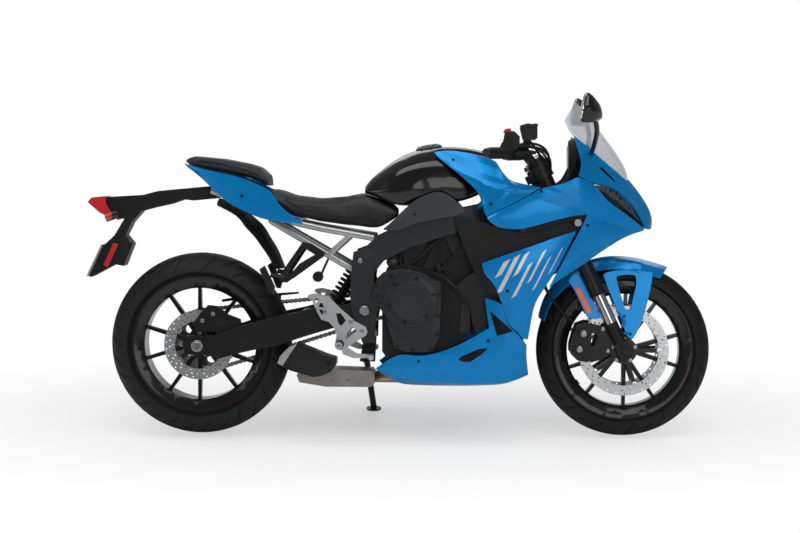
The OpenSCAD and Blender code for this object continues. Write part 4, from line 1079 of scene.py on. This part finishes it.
class BIKE_OT_lamps(BikeStep):
    """Makes the screen, headlights, tail lamps, turn signals and mirrors"""

    bl_idname = "bike.lamps"
    bl_label = "Screen, lamps and mirrors"

    def make(self, scene):
        shell("windscreen", clear("clear_screen", (0.55, 0.60, 0.64)))
        shell("headlights", lens("head_lens", (0.012, 0.013, 0.015)))
        shell("cockpit", plain("dark_plastic"), levels=1)
        shell("mirrors", gloss_black())
        hard("tail_lamps", lens("red_lens", (0.55, 0.01, 0.015)), 0.8)
        hard("turn_signals", signal_plastic(), 1.5, 3)
        hard("fork_reflectors", lens("amber_lens", (0.75, 0.10, 0.012)), 0.8)
        hard("number_plate", plain("plate_paint"), 0.5)
        hard("plate_hanger", plain("dark_plastic"), 6.0, 3)
        self.lamp_cores()
        self.mirror_faces()
        self.dash()

    def lamp_cores(self):
        core = spun([(0, 3.0), (6, 2.4), (9.5, 0.8), (10.5, 1.6), (11.5, 1.6), (12.5, 0.6), (12.5, -2.5), (0, -2.5)], 32)
        places = seated([(1404, 846), (1440, 818)], ("headlights",))
        places += seated([(1474, 788)], ("headlights",), scale=0.7)
        copies("headlight_cores", core, places, plain("screen_glass"), "chassis")

    def mirror_faces(self):
        face = spun([(0, 0.6), (38, 0.6), (40, -0.4), (40, -3), (0, -3)], 48)
        places = [put((1301.0, side * 290, 1122), (-0.98, 0, 0.17), (1.75, 1.0, 1.0)) for side in (-1, 1)]
        copies("mirror_faces", face, places, plain("mirror_glass"), "chassis")

    def dash(self):
        screen = [(1270, 928), (1274.6, 926), (1274.6, 1004), (1270, 1004)]
        slab("dash_screen", screen, -50, 50, plain("screen_glass"), "chassis", 1.5)
        places = [put((1273.2, y, 914), (-1, 0, 0)) for y in (-44, -28, 28, 44)]
        copies("dash_buttons", socket_bolt(5, 3), places, plain("dark_plastic"), "chassis")


class BIKE_OT_seats(BikeStep):
    """Makes the padded seats with their piping"""

    bl_idname = "bike.seats"
    bl_label = "Seats"

    def make(self, scene):
        for node in ("rider_seat", "pillion_seat"):
            made = self.stuffed(scene, node)
        self.piping("rider_seat", [(300, 825), (318, 806), (364, 782), (430, 768), (499, 758), (560, 752), (617, 744)])
        self.piping("pillion_seat", [(-10, 950), (40, 946), (87, 938), (130, 929), (171, 918), (205, 905)])

    def quick_cover(self, node):
        return settle(shell(node, seat_vinyl(), crease=0.6))

    def stuffed(self, scene, node):
        """Covers a seat's foam: the cover starts slightly small, swells under pressure and keeps near its shape."""
        settings = scene.bike_seat
        made = linked(node + "_skin", cad_shape(node))
        grid = made.modifiers.new("Grid", "REMESH")
        grid.mode = "VOXEL"
        grid.voxel_size = 0.0055
        settle(made)
        mesh = made.data
        count = len(mesh.vertices)
        start = np.empty(count * 3)
        mesh.vertices.foreach_get("co", start)
        start = start.reshape(-1, 3)
        normals = np.empty(count * 3)
        mesh.vertices.foreach_get("normal", normals)
        small = start - normals.reshape(-1, 3) * 0.0025
        mesh.vertices.foreach_set("co", small.ravel())
        mesh.update()
        cloth = made.modifiers.new("Cover", "CLOTH")
        cloth.settings.quality = 5
        cloth.settings.mass = 0.4
        cloth.settings.tension_stiffness = cloth.settings.compression_stiffness = 18.0
        cloth.settings.bending_stiffness = 1.5
        cloth.settings.use_pressure = True
        cloth.settings.uniform_pressure_force = settings.pressure
        cloth.settings.effector_weights.gravity = 0.0
        cloth.collision_settings.use_collision = False
        cloth.point_cache.frame_end = 20
        for number in range(1, 21):
            scene.frame_set(number)
        settle(made)
        scene.frame_set(1)
        mesh = made.data
        moved = np.empty(count * 3)
        mesh.vertices.foreach_get("co", moved)
        step = moved.reshape(-1, 3) - small
        size = np.linalg.norm(step, axis=1, keepdims=True)
        step *= np.minimum(1.0, settings.swell / np.maximum(size, 1e-9))
        mesh.vertices.foreach_set("co", (small + step).ravel())
        mesh.update()
        soft = made.modifiers.new("Even", "SMOOTH")
        soft.iterations = 4
        fine = made.modifiers.new("Fine", "SUBSURF")
        fine.levels = fine.render_levels = 1
        settle(made)
        mesh = made.data
        mesh.materials.clear()
        mesh.materials.append(seat_vinyl())
        mesh.shade_smooth()
        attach(made, BODY_OF[node])
        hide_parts(node)
        return made

    def piping(self, node, spots):
        lines = []
        for side in (-1, 1):
            points = [seat(x, z, side, (node,), -0.6)[0] for x, z in spots]
            lines.append(tube(points, 1.7, 8, 6))
        piece(node + "_piping", merged(lines), plain("rubber"), BODY_OF[node], ())


class BIKE_OT_frame(BikeStep):
    """Makes the frame, subframe, swingarm, stand and pegs"""

    bl_idname = "bike.frame"
    bl_label = "Frame and pegs"

    def make(self, scene):
        hard("main_frame", frame_grey(), 2.5, 3)
        hard("subframe", plain("silver_paint"), 0.5)
        hard("swingarm", plain("satin_black"), 5.0, 3)
        hard("side_stand", plain("satin_black"), 0.8)
        hard("footpegs", plain("cast_aluminium"), 1.6, 3)
        hard("pillion_pegs", plain("satin_black"), 1.2)
        hard("chain_guard", plain("dark_plastic"), 0.8)
        hard("rear_axle", plain("bright_steel"), 0.8)
        self.shock()
        self.peg_rubbers()

    def shock(self):
        """Damper, spring seats and coil spring in place of the plain shock."""
        run = SHOCK_TOP - SHOCK_FOOT
        along, size = run.normalized(), run.length
        body = lathe([(0.1, 15), (13, 15), (13, 60), (10, 62), (10, size - 60), (16, size - 58), (16, size - 24),
                      (0.1, size - 24)], SHOCK_FOOT, 32, along, closed=False)
        seats = [lathe([(10, a), (33, a), (33, a + 6), (10, a + 6)], SHOCK_FOOT, 40, along)
                 for a in (48, size - 58)]
        made = piece("shock_body", merged([body, *seats]), plain("satin_black"), BODY_OF["rear_shock"], ("rear_shock",))
        round_edges(made, 0.6)
        x = along.orthogonal().normalized()
        y = along.cross(x)
        turns, low, high = 7.5, 58, size - 62
        points = []
        for k in range(int(turns * 16) + 1):
            a, share = math.tau * k / 16, k / (turns * 16)
            point = SHOCK_FOOT + along * (low + (high - low) * share) + (x * math.cos(a) + y * math.sin(a)) * 26
            points.append(at(*point))
        piece("shock_spring", tube(points, 5, 12, 2), plain("engine_black"), BODY_OF["rear_shock"], ())

    def peg_rubbers(self):
        ribs = [(12.1, 0)]
        for k in range(8):
            ribs += [(14.4, 8 * k + 1), (14.4, 8 * k + 5), (12.6, 8 * k + 6.5)]
        ribs += [(12.1, 66)]
        both = [lathe(ribs, (494, side * 212, 330), 24, (0, side, 0)) for side in (-1, 1)]
        piece("peg_rubbers", merged(both), plain("rubber"), "chassis", ())


class BIKE_OT_engine(BikeStep):
    """Makes the engine, radiator and exhaust"""

    bl_idname = "bike.engine"
    bl_label = "Engine and exhaust"

    def make(self, scene):
        hard("engine", plain("engine_black"), 3.0, 3)
        hard("engine_covers", plain("cover_black"), 2.5, 3)
        hard("radiator", fine_fins(), 1.0)
        shell("exhaust_pipes", heated_steel(), levels=1)
        hard("muffler", muffler_metal(), 3.0, 3)
        self.cover_rings()
        self.looms()

    def cover_rings(self):
        """Raised rings and ribs on the round covers."""
        clutch, stator = (733, 478), (850, 400)
        rings = []
        for (x, z), r, y in ((clutch, 60, -204), (clutch, 88, -196), (clutch, 96, -190), (stator, 60, 192),
                             (stator, 78, 184)):
            rings.append(lathe([(r - 2, 0), (r - 2, 2.4), (r - 1, 3), (r + 1, 3), (r + 2, 2.4), (r + 2, 0)],
                               (x, y, z), 64, (0, math.copysign(1, y), 0)))
        rings.append(lathe([(0.1, 0), (17, 0), (17, 8), (13, 10), (0.1, 10)], (724, -172, 566), 24, (0, -1, 0)))
        rings.append(lathe([(0.1, 0), (15, 0), (15, 4), (12, 6), (0.1, 6)], (668, -130, 606), 24, (0, -1, 0)))
        piece("cover_rings", merged(rings), plain("cover_black"), "chassis", ())

    def looms(self):
        """Hoses and cables in the open bay above the engine."""
        runs = [
            ([(842, -132, 690), (800, -138, 672), (770, -140, 620), (740, -136, 604)], 7),
            ([(900, -132, 660), (872, -140, 610), (838, -142, 584), (815, -132, 560)], 5),
            ([(700, -134, 640), (690, -140, 600), (705, -142, 578), (722, -138, 570)], 4.5),
            ([(660, -124, 625), (690, -134, 660), (742, -136, 690), (800, -132, 702)], 4),
            ([(912, -148, 500), (938, -150, 520), (962, -150, 556), (985, -150, 600)], 9),
            ([(996, -118, 600), (966, -120, 510), (950, -120, 436), (938, -120, 360)], 15),
        ]
        pipes = hoses(runs) + hoses(runs[:3] + runs[-1:], -1)
        piece("engine_hoses", merged(pipes), plain("rubber"), "chassis", ())


class BIKE_OT_tyres(BikeStep):
    """Makes the tyres with their grooves"""

    bl_idname = "bike.tyres"
    bl_label = "Tyres"

    def make(self, scene):
        self.tyre(scene, "front_tyre", FRONT_AXLE, 300.0, 60.0, 61.0, 45.0)
        self.tyre(scene, "rear_tyre", REAR_AXLE, 315.0, 90.0, 95.0, 70.0)

    def tyre(self, scene, node, axle, outer, half, crown, rim_half):
        """Tyre skin over rings of (radius, across) points, sunk where a groove passes."""
        settings = scene.bike_wheel
        edge = min(math.radians(80), math.asin(min(1.0, half / crown)))
        columns, steps, bead, wall, side = 48, 540, 232.4, 11.0, rim_half - 0.4
        turns = np.linspace(-edge, edge, columns + 1)
        crown_r = outer - crown + crown * np.cos(turns)
        crown_y = crown * np.sin(turns)
        low = [(bead, side), (bead + 9, side)]
        shoulder = (crown_r[-1], crown_y[-1])
        middle = [(low[1][0] * (1 - k) + shoulder[0] * k, low[1][1] * (1 - k) + shoulder[1] * k + bulge)
                  for k, bulge in ((0.06, 1.2), (0.12, 0.2), (0.4, 0.9), (0.7, 1.0), (0.86, 0.8), (0.9, 1.5),
                                   (0.94, 0.5))]
        left = low + middle
        right = [(r, -y) for r, y in left]
        hollow = [(outer - crown + (crown - wall) * math.cos(a), (crown - wall) * math.sin(a))
                  for a in np.linspace(edge * 0.98, -edge * 0.98, 9)]
        inner = [(bead, side - wall), *hollow, (bead, wall - side)]
        radius, across = np.array([*right, *zip(crown_r, crown_y), *left[::-1], *inner]).T
        first = len(right)
        spread = np.zeros(len(radius))
        spread[first:first + columns + 1] = turns / edge
        on_tread = np.zeros(len(radius))
        on_tread[first:first + columns + 1] = 1.0
        angle = np.linspace(0, math.tau, steps, endpoint=False)[:, None]
        sunk = self.grooves(angle, spread[None, :], outer, settings) * on_tread[None, :]
        r = radius[None, :] - sunk * np.cos(spread * edge)[None, :]
        y = across[None, :] - sunk * np.sin(spread * edge)[None, :]
        local = np.stack([axle[0] + r * np.cos(angle), y + 0 * angle, axle[2] + r * np.sin(angle)], axis=-1) * MM
        turn, shift = np.array(TURN), np.array(PARKED.translation)
        points = local.reshape(-1, 3) @ turn.T + shift
        count = len(radius)
        ring, column = np.meshgrid(np.arange(steps), np.arange(count), indexing="ij")
        after, beside = (ring + 1) % steps, (column + 1) % count
        faces = np.stack([ring * count + column, after * count + column, after * count + beside,
                          ring * count + beside], axis=-1).reshape(-1, 4)
        mesh = bpy.data.meshes.new(node)
        mesh.from_pydata(points.tolist(), [], faces.tolist())
        shape = bmesh.new()
        shape.from_mesh(mesh)
        bmesh.ops.recalc_face_normals(shape, faces=shape.faces)
        bpy.data.meshes.remove(mesh)
        piece(node + "_skin", shape, plain("tyre_rubber"), BODY_OF[node], (node,), 42.0)

    def grooves(self, angle, spread, outer, settings):
        """Depth of the grooves in millimetres at each angle and place across, from -1 to 1."""
        groups = settings.grooves
        pitch = math.tau * outer / groups
        turn = angle * groups / math.tau + np.where(spread < 0, 0.5, 0.0)
        wide = np.abs(spread)
        depth = 0
        for start, reach, power, low, high, width in (
            (0.10, 0.85, 1.5, 0.06, 0.74, 8.0),
            (0.62, 0.55, 1.2, 0.38, 0.93, 6.0),
        ):
            middle = start + reach * wide ** power
            gap = np.abs((turn - middle + 0.5) % 1.0 - 0.5) * pitch * 0.8
            share = np.clip((width / 2 * (1.15 - 0.5 * wide) - gap) / 1.3 + 0.5, 0, 1)
            ends = np.clip((wide - low) / 0.03 + 0.5, 0, 1) * np.clip((high - wide) / 0.03 + 0.5, 0, 1)
            depth = np.maximum(depth, share * ends)
        return depth * settings.tread_depth


class BIKE_OT_wheels(BikeStep):
    """Makes the rims, drilled discs, sprocket and calipers"""

    bl_idname = "bike.wheels"
    bl_label = "Wheels"

    def make(self, scene):
        hard("front_rim", rim_paint("front_rim_paint", FRONT_AXLE), 2.5, 3)
        hard("rear_rim", rim_paint("rear_rim_paint", REAR_AXLE), 2.5, 3)
        self.disc(scene, "front_discs", FRONT_AXLE, (-66, 66), (127.5, 138, 148.5), 119.5)
        self.disc(scene, "rear_disc", REAR_AXLE, (-96,), (90, 101.5, 113), 81.5)
        hard("rear_sprocket", plain("bolt_steel"), 0.4)
        hard("rear_brake", plain("satin_black"), 2.5, 3)
        hard("front_calipers", plain("satin_black"), 0.8)
        self.hub_bolts()

    def disc(self, scene, node, axle, planes, rows, inner):
        settings = scene.bike_wheel
        size = settings.hole_size * (1.0 if node == "front_discs" else 0.9)
        cutter = spun([(0, -6), (size, -6), (size, 6), (0, 6)], 10)
        places = []
        for plane in planes:
            for row, r in enumerate(rows):
                for x, z in ring_spots(axle, r, settings.disc_holes, 4.0 * row):
                    places.append(put((x, plane, z), (0, 1, 0)))
        drilled(node, disc_steel(node + "_steel", axle, inner), cutter, places)

    def hub_bolts(self):
        for end, axle, planes, radii in (
            ("front", FRONT_AXLE, (-68.7, 68.7), (41, 121)),
            ("rear", REAR_AXLE, (-98.7,), (40, 83)),
        ):
            for kind, r, start, bolt, steel in (
                ("bolts", radii[0], 17, socket_bolt(7, 1.2), plain("bolt_steel")),
                ("buttons", radii[1], 0, socket_bolt(8, 1.2, 20), plain("bright_steel")),
            ):
                places = [put((x, plane, z), (0, math.copysign(1, plane), 0))
                          for plane in planes for x, z in ring_spots(axle, r, 5, start)]
                copies(f"{end}_disc_{kind}", bolt, places, steel, f"{end}_wheel")
        places = [put((x, 107.8, z), (0, 1, 0))
                  for x, z in ring_spots(REAR_AXLE, 46, 5, 36)]
        copies("sprocket_nuts", spun([(0, 7), (4, 7), (8, 6.4), (9, 5), (9, 0), (0, 0)], 6), places, plain("bolt_steel"),
               "rear_wheel", 20.0)
        stem = lathe([(0.1, 0), (2.4, 0), (2.4, 26), (4, 26), (4, 36), (0.1, 36)], (1465 - 150, -26, 300 - 118), 12,
                     (-0.35, -0.85, 0.35), closed=False)
        piece("valve_stem", stem, plain("bolt_black"), "front_wheel", ())


class BIKE_OT_chain(BikeStep):
    """Makes the chain with a riveted pin in every link"""

    bl_idname = "bike.chain"
    bl_label = "Chain"

    def make(self, scene):
        hard("drive_chain", plain("bolt_steel"), 0)
        head = spun([(0, 1.4), (2.4, 1.4), (3.4, 0.8), (3.4, -0.4), (0, -0.4)], 10)
        places = []
        for x, z in self.pins():
            for side in (-1, 1):
                places.append(put((x, CHAIN_Y + side * 10, z), (0, side, 0)))
        copies("chain_pins", head, places, plain("bright_steel"), "chassis")

    def pins(self):
        """(x, z) of each pin on the pitch line round both sprockets."""
        rear, front = (Vector(p) for p in SPROCKETS)
        slope = front - rear
        tilt = math.atan2(slope.y, slope.x)
        wrap = math.acos((REAR_PITCH_R - FRONT_PITCH_R) / slope.length)
        run = slope.length * math.sin(wrap)
        rear_arc, front_arc = REAR_PITCH_R * (math.tau - 2 * wrap), FRONT_PITCH_R * 2 * wrap
        total = rear_arc + front_arc + 2 * run
        links = 2 * round(total / CHAIN_PITCH / 2)

        def out(a):
            return Vector((math.cos(a), math.sin(a)))

        for k in range(links):
            s = k * total / links
            if s < rear_arc:
                yield rear + REAR_PITCH_R * out(tilt + wrap + s / REAR_PITCH_R)
            elif s < rear_arc + run:
                yield rear + REAR_PITCH_R * out(tilt - wrap) + (s - rear_arc) * out(tilt - wrap + math.pi / 2)
            elif s < total - run:
                yield front + FRONT_PITCH_R * out(tilt - wrap + (s - rear_arc - run) / FRONT_PITCH_R)
            else:
                yield front + FRONT_PITCH_R * out(tilt + wrap) + (s - total + run) * out(tilt + wrap + math.pi / 2)


class BIKE_OT_fork(BikeStep):
    """Makes the fork, its clamps and the brake hoses"""

    bl_idname = "bike.fork"
    bl_label = "Fork"

    def make(self, scene):
        hard("fork_tubes", plain("satin_black"), 1.5, 3)
        hard("fork_legs", fork_leg_paint(), 0.8)
        shell("brake_hoses", plain("rubber"), levels=1)
        up = way(-math.sin(RAKE), 0, math.cos(RAKE))
        cap = spun([(0, 6), (9, 6), (9, 10), (12, 10), (13, 9), (13, 5), (22, 5), (24, 3.5), (24, -2), (0, -2)], 6)
        places = [(on_fork(0, side * 103, 728), facing(up), (1, 1, 1)) for side in (-1, 1)]
        copies("fork_caps", cap, places, plain("cast_aluminium"), "fork", 25.0)
        nut = spun([(0, 10), (8, 10), (8, 14), (15, 14), (17, 12), (17, -2), (0, -2)], 24)
        copies("steering_nut", nut, [(on_fork(-FORK_OFFSET, 0, 700), facing(up), (1, 1, 1))], plain("bolt_steel"), "fork")
        seal = spun([(20.6, 0), (27.5, 0), (28.5, 3), (28.5, 9), (26, 11), (20.6, 11)], 40)
        down = -up
        copies("fork_seals", seal, [(on_fork(0, side * 103, 225), facing(down), (1, 1, 1)) for side in (-1, 1)],
               plain("rubber"), "fork")


class BIKE_OT_bars(BikeStep):
    """Makes the grips, switches, levers and their cables"""

    bl_idname = "bike.bars"
    bl_label = "Bars"

    def make(self, scene):
        hard("handlebars", plain("satin_black"), 1.0)
        hard("bar_controls", plain("dark_plastic"), 4.0, 3)
        self.grips()
        self.switches()
        self.cables()

    def grips(self):
        run = BAR_OUT - BAR_IN
        ribs = [(12, 0), (22, 0), (22, 4), (17.2, 5)]
        for k in range(15):
            ribs += [(18.4, 7 * k + 8), (18.4, 7 * k + 11), (17.4, 7 * k + 12.5)]
        ribs += [(17.2, 114), (12, 114)]
        ends = [(0.1, 0), (13, 0), (15, 2), (15, 14), (12, 17), (0.1, 17)]
        grips, weights = [], []
        for side in (-1, 1):
            along = Vector((run.x, run.y * side, run.z)).normalized()
            start = BAR_IN + run * 0.47
            grips.append(lathe(ribs, (start.x, start.y * side, start.z), 32, along))
            weights.append(lathe(ends, (BAR_OUT.x, BAR_OUT.y * side, BAR_OUT.z), 24, along, closed=False))
        piece("grips", merged(grips), plain("rubber"), "fork", ())
        piece("bar_ends", merged(weights), plain("satin_black"), "fork", ())

    def switches(self):
        red = [(1042, 1044), (1048, 1058), (1066, 1061), (1070, 1050)]
        slab("stop_switch", red, -258, -240, plain("red_switch"), "fork", 2.0)
        lid = [(1098, 1070), (1120, 1077), (1160, 1076), (1160, 1068), (1122, 1069), (1102, 1062)]
        slab("reservoir_lid", lid, -238, -186, plain("satin_black"), "fork", 2.0)
        screws = [put((x, y, 1076.6), (0, 0, 1)) for x in (1126, 1152) for y in (-228, -196)]
        copies("reservoir_screws", socket_bolt(3, 2, 12), screws, plain("bolt_steel"), "fork")
        knobs = [put((x, 263, z), (0, 1, 0)) for x, z in ((1062, 1008), (1078, 1012))]
        copies("left_buttons", socket_bolt(5, 4), knobs, plain("rubber"), "fork")

    def cables(self):
        runs = [
            ([(1096, -232, 1006), (1140, -226, 1014), (1186, -176, 1004), (1206, -128, 966), (1200, -104, 930)], 4.5),
            ([(1092, -246, 1000), (1142, -238, 1004), (1192, -182, 990), (1212, -132, 950), (1206, -98, 905)], 4.0),
            ([(1130, -196, 1024), (1150, -160, 1000), (1176, -138, 968), (1190, -124, 925), (1200, -112, 880)], 4.5),
            ([(1092, 240, 1004), (1142, 232, 1008), (1192, 178, 994), (1212, 130, 954), (1206, 98, 908)], 4.5),
        ]
        piece("control_cables", merged(hoses(runs)), plain("rubber"), "fork", ())


class BIKE_OT_fasteners(BikeStep):
    """Makes the bolts on the panels, engine, brackets and brakes"""

    bl_idname = "bike.fasteners"
    bl_label = "Fasteners"

    def make(self, scene):
        panels = ("upper_fairings", "tank_panels", "belly_pan", "lower_fairings", "side_covers", "tail_panels",
                  "nose_cowl")
        spots = [(1004, 806), (1173, 850), (996, 341), (875, 955), (760, 268), (1060, 512), (1330, 735),
                 (745, 770), (150, 830)]
        copies("panel_bolts", socket_bolt(5.2, 2.6), seated(spots, panels), plain("bolt_black"), "chassis")
        covers = [(828, 498), (828, 424), (822, 362), (799, 308), (740, 308), (688, 320), (650, 410),
                  (614, 530), (667, 562), (616, 492)]
        places = seated(covers, ("engine_covers",), (-1,))
        places += seated(ring_spots((733, 0, 478), 78, 6, 15), ("engine_covers",), (-1,))
        places += seated(ring_spots((850, 0, 400), 72, 8, 10), ("engine_covers",), (1,), 0.9)
        copies("engine_bolts", socket_bolt(6.5, 5), places, plain("bolt_black"), "chassis")
        bracket = seated([(530, 404), (567, 373), (494, 330), (440, 438)], ("footpegs",))
        bracket += seated([(575, 440)], ("main_frame",), scale=2.4)
        bracket += seated([(560, 610)], ("main_frame",), scale=1.3)
        copies("bracket_bolts", socket_bolt(7, 5), bracket, plain("bolt_steel"), "chassis")
        shield = seated([(364, 192), (414, 192), (462, 193), (513, 193), (563, 193)], ("muffler",))
        copies("shield_rivets", socket_bolt(4.5, 1.5), shield, heated_steel(), "chassis")
        copies("muffler_bolt", socket_bolt(11, 5), seated([(456, 262)], ("muffler",), (-1,)), plain("bolt_black"), "chassis")
        calipers = seated([(1326, 360), (1312, 306)], ("front_calipers",), scale=1.6)
        calipers += seated([(1392, 376), (1410, 300)], ("front_calipers",))
        copies("caliper_bolts", socket_bolt(7, 4), calipers, plain("bolt_steel"), "fork")
        copies("rear_caliper_bolts", socket_bolt(7, 4), seated([(52, 424), (14, 400)], ("rear_brake",), (-1,)),
               plain("bolt_steel"), "chassis")
        copies("fender_bolts", socket_bolt(5, 2.5), seated([(1465, 420), (1486, 360)], ("front_fender",)), plain("bolt_black"),
               "fork")
        plate = [put((-345, y, 640), (-0.9, 0, 0.43)) for y in (-60, 60)]
        copies("plate_bolts", socket_bolt(6, 3), plate, plain("bolt_steel"), "chassis")
        adjusters = [put((-52, side * 132, 320), (-1, 0, 0)) for side in (-1, 1)]
        copies("chain_adjusters", spun([(0, 12), (5, 12), (5, 6), (9, 6), (9, 0), (0, 0)], 6), adjusters, plain("bolt_steel"),
               "chassis", 20.0)
        nuts = [put((0, side * 158, REAR_AXLE_Z), (0, side, 0)) for side in (-1, 1)]
        copies("axle_nuts", spun([(0, 3), (9, 3), (9, 9), (15, 9), (17, 7.5), (17, 0), (0, 0)], 6), nuts, plain("bolt_steel"),
               "chassis", 20.0)


class BIKE_PT_panel(bpy.types.Panel):
    """Lists the steps and settings in the sidebar"""

    bl_idname = "BIKE_PT_panel"
    bl_label = "Sport bike"
    bl_space_type = "VIEW_3D"
    bl_region_type = "UI"
    bl_category = "Sport bike"

    def draw(self, context):
        for settings in ("bike_paint", "bike_wheel", "bike_seat", "bike_light"):
            group_of = getattr(context.scene, settings)
            box = self.layout.box()
            for name in group_of.__annotations__:
                box.prop(group_of, name)
        for step in STEPS:
            self.layout.operator(step.bl_idname)


SETTINGS = {
    "bike_paint": PaintSettings,
    "bike_wheel": WheelSettings,
    "bike_seat": SeatSettings,
    "bike_light": LightSettings,
}
STEPS = (
    BIKE_OT_stage,
    BIKE_OT_panels,
    BIKE_OT_lamps,
    BIKE_OT_seats,
    BIKE_OT_frame,
    BIKE_OT_engine,
    BIKE_OT_tyres,
    BIKE_OT_wheels,
    BIKE_OT_chain,
    BIKE_OT_fork,
    BIKE_OT_bars,
    BIKE_OT_fasteners,
)


def register():
    for made in (*SETTINGS.values(), *STEPS, BIKE_PT_panel):
        bpy.utils.register_class(made)
    for name, made in SETTINGS.items():
        setattr(bpy.types.Scene, name, PointerProperty(type=made))


def unregister():
    for name in SETTINGS:
        delattr(bpy.types.Scene, name)
    for made in (BIKE_PT_panel, *reversed(STEPS), *SETTINGS.values()):
        bpy.utils.unregister_class(made)


def main():
    register()
    for step in STEPS:
        space, name = step.bl_idname.split(".")
        getattr(getattr(bpy.ops, space), name)()


if __name__ == "__main__":
    main()
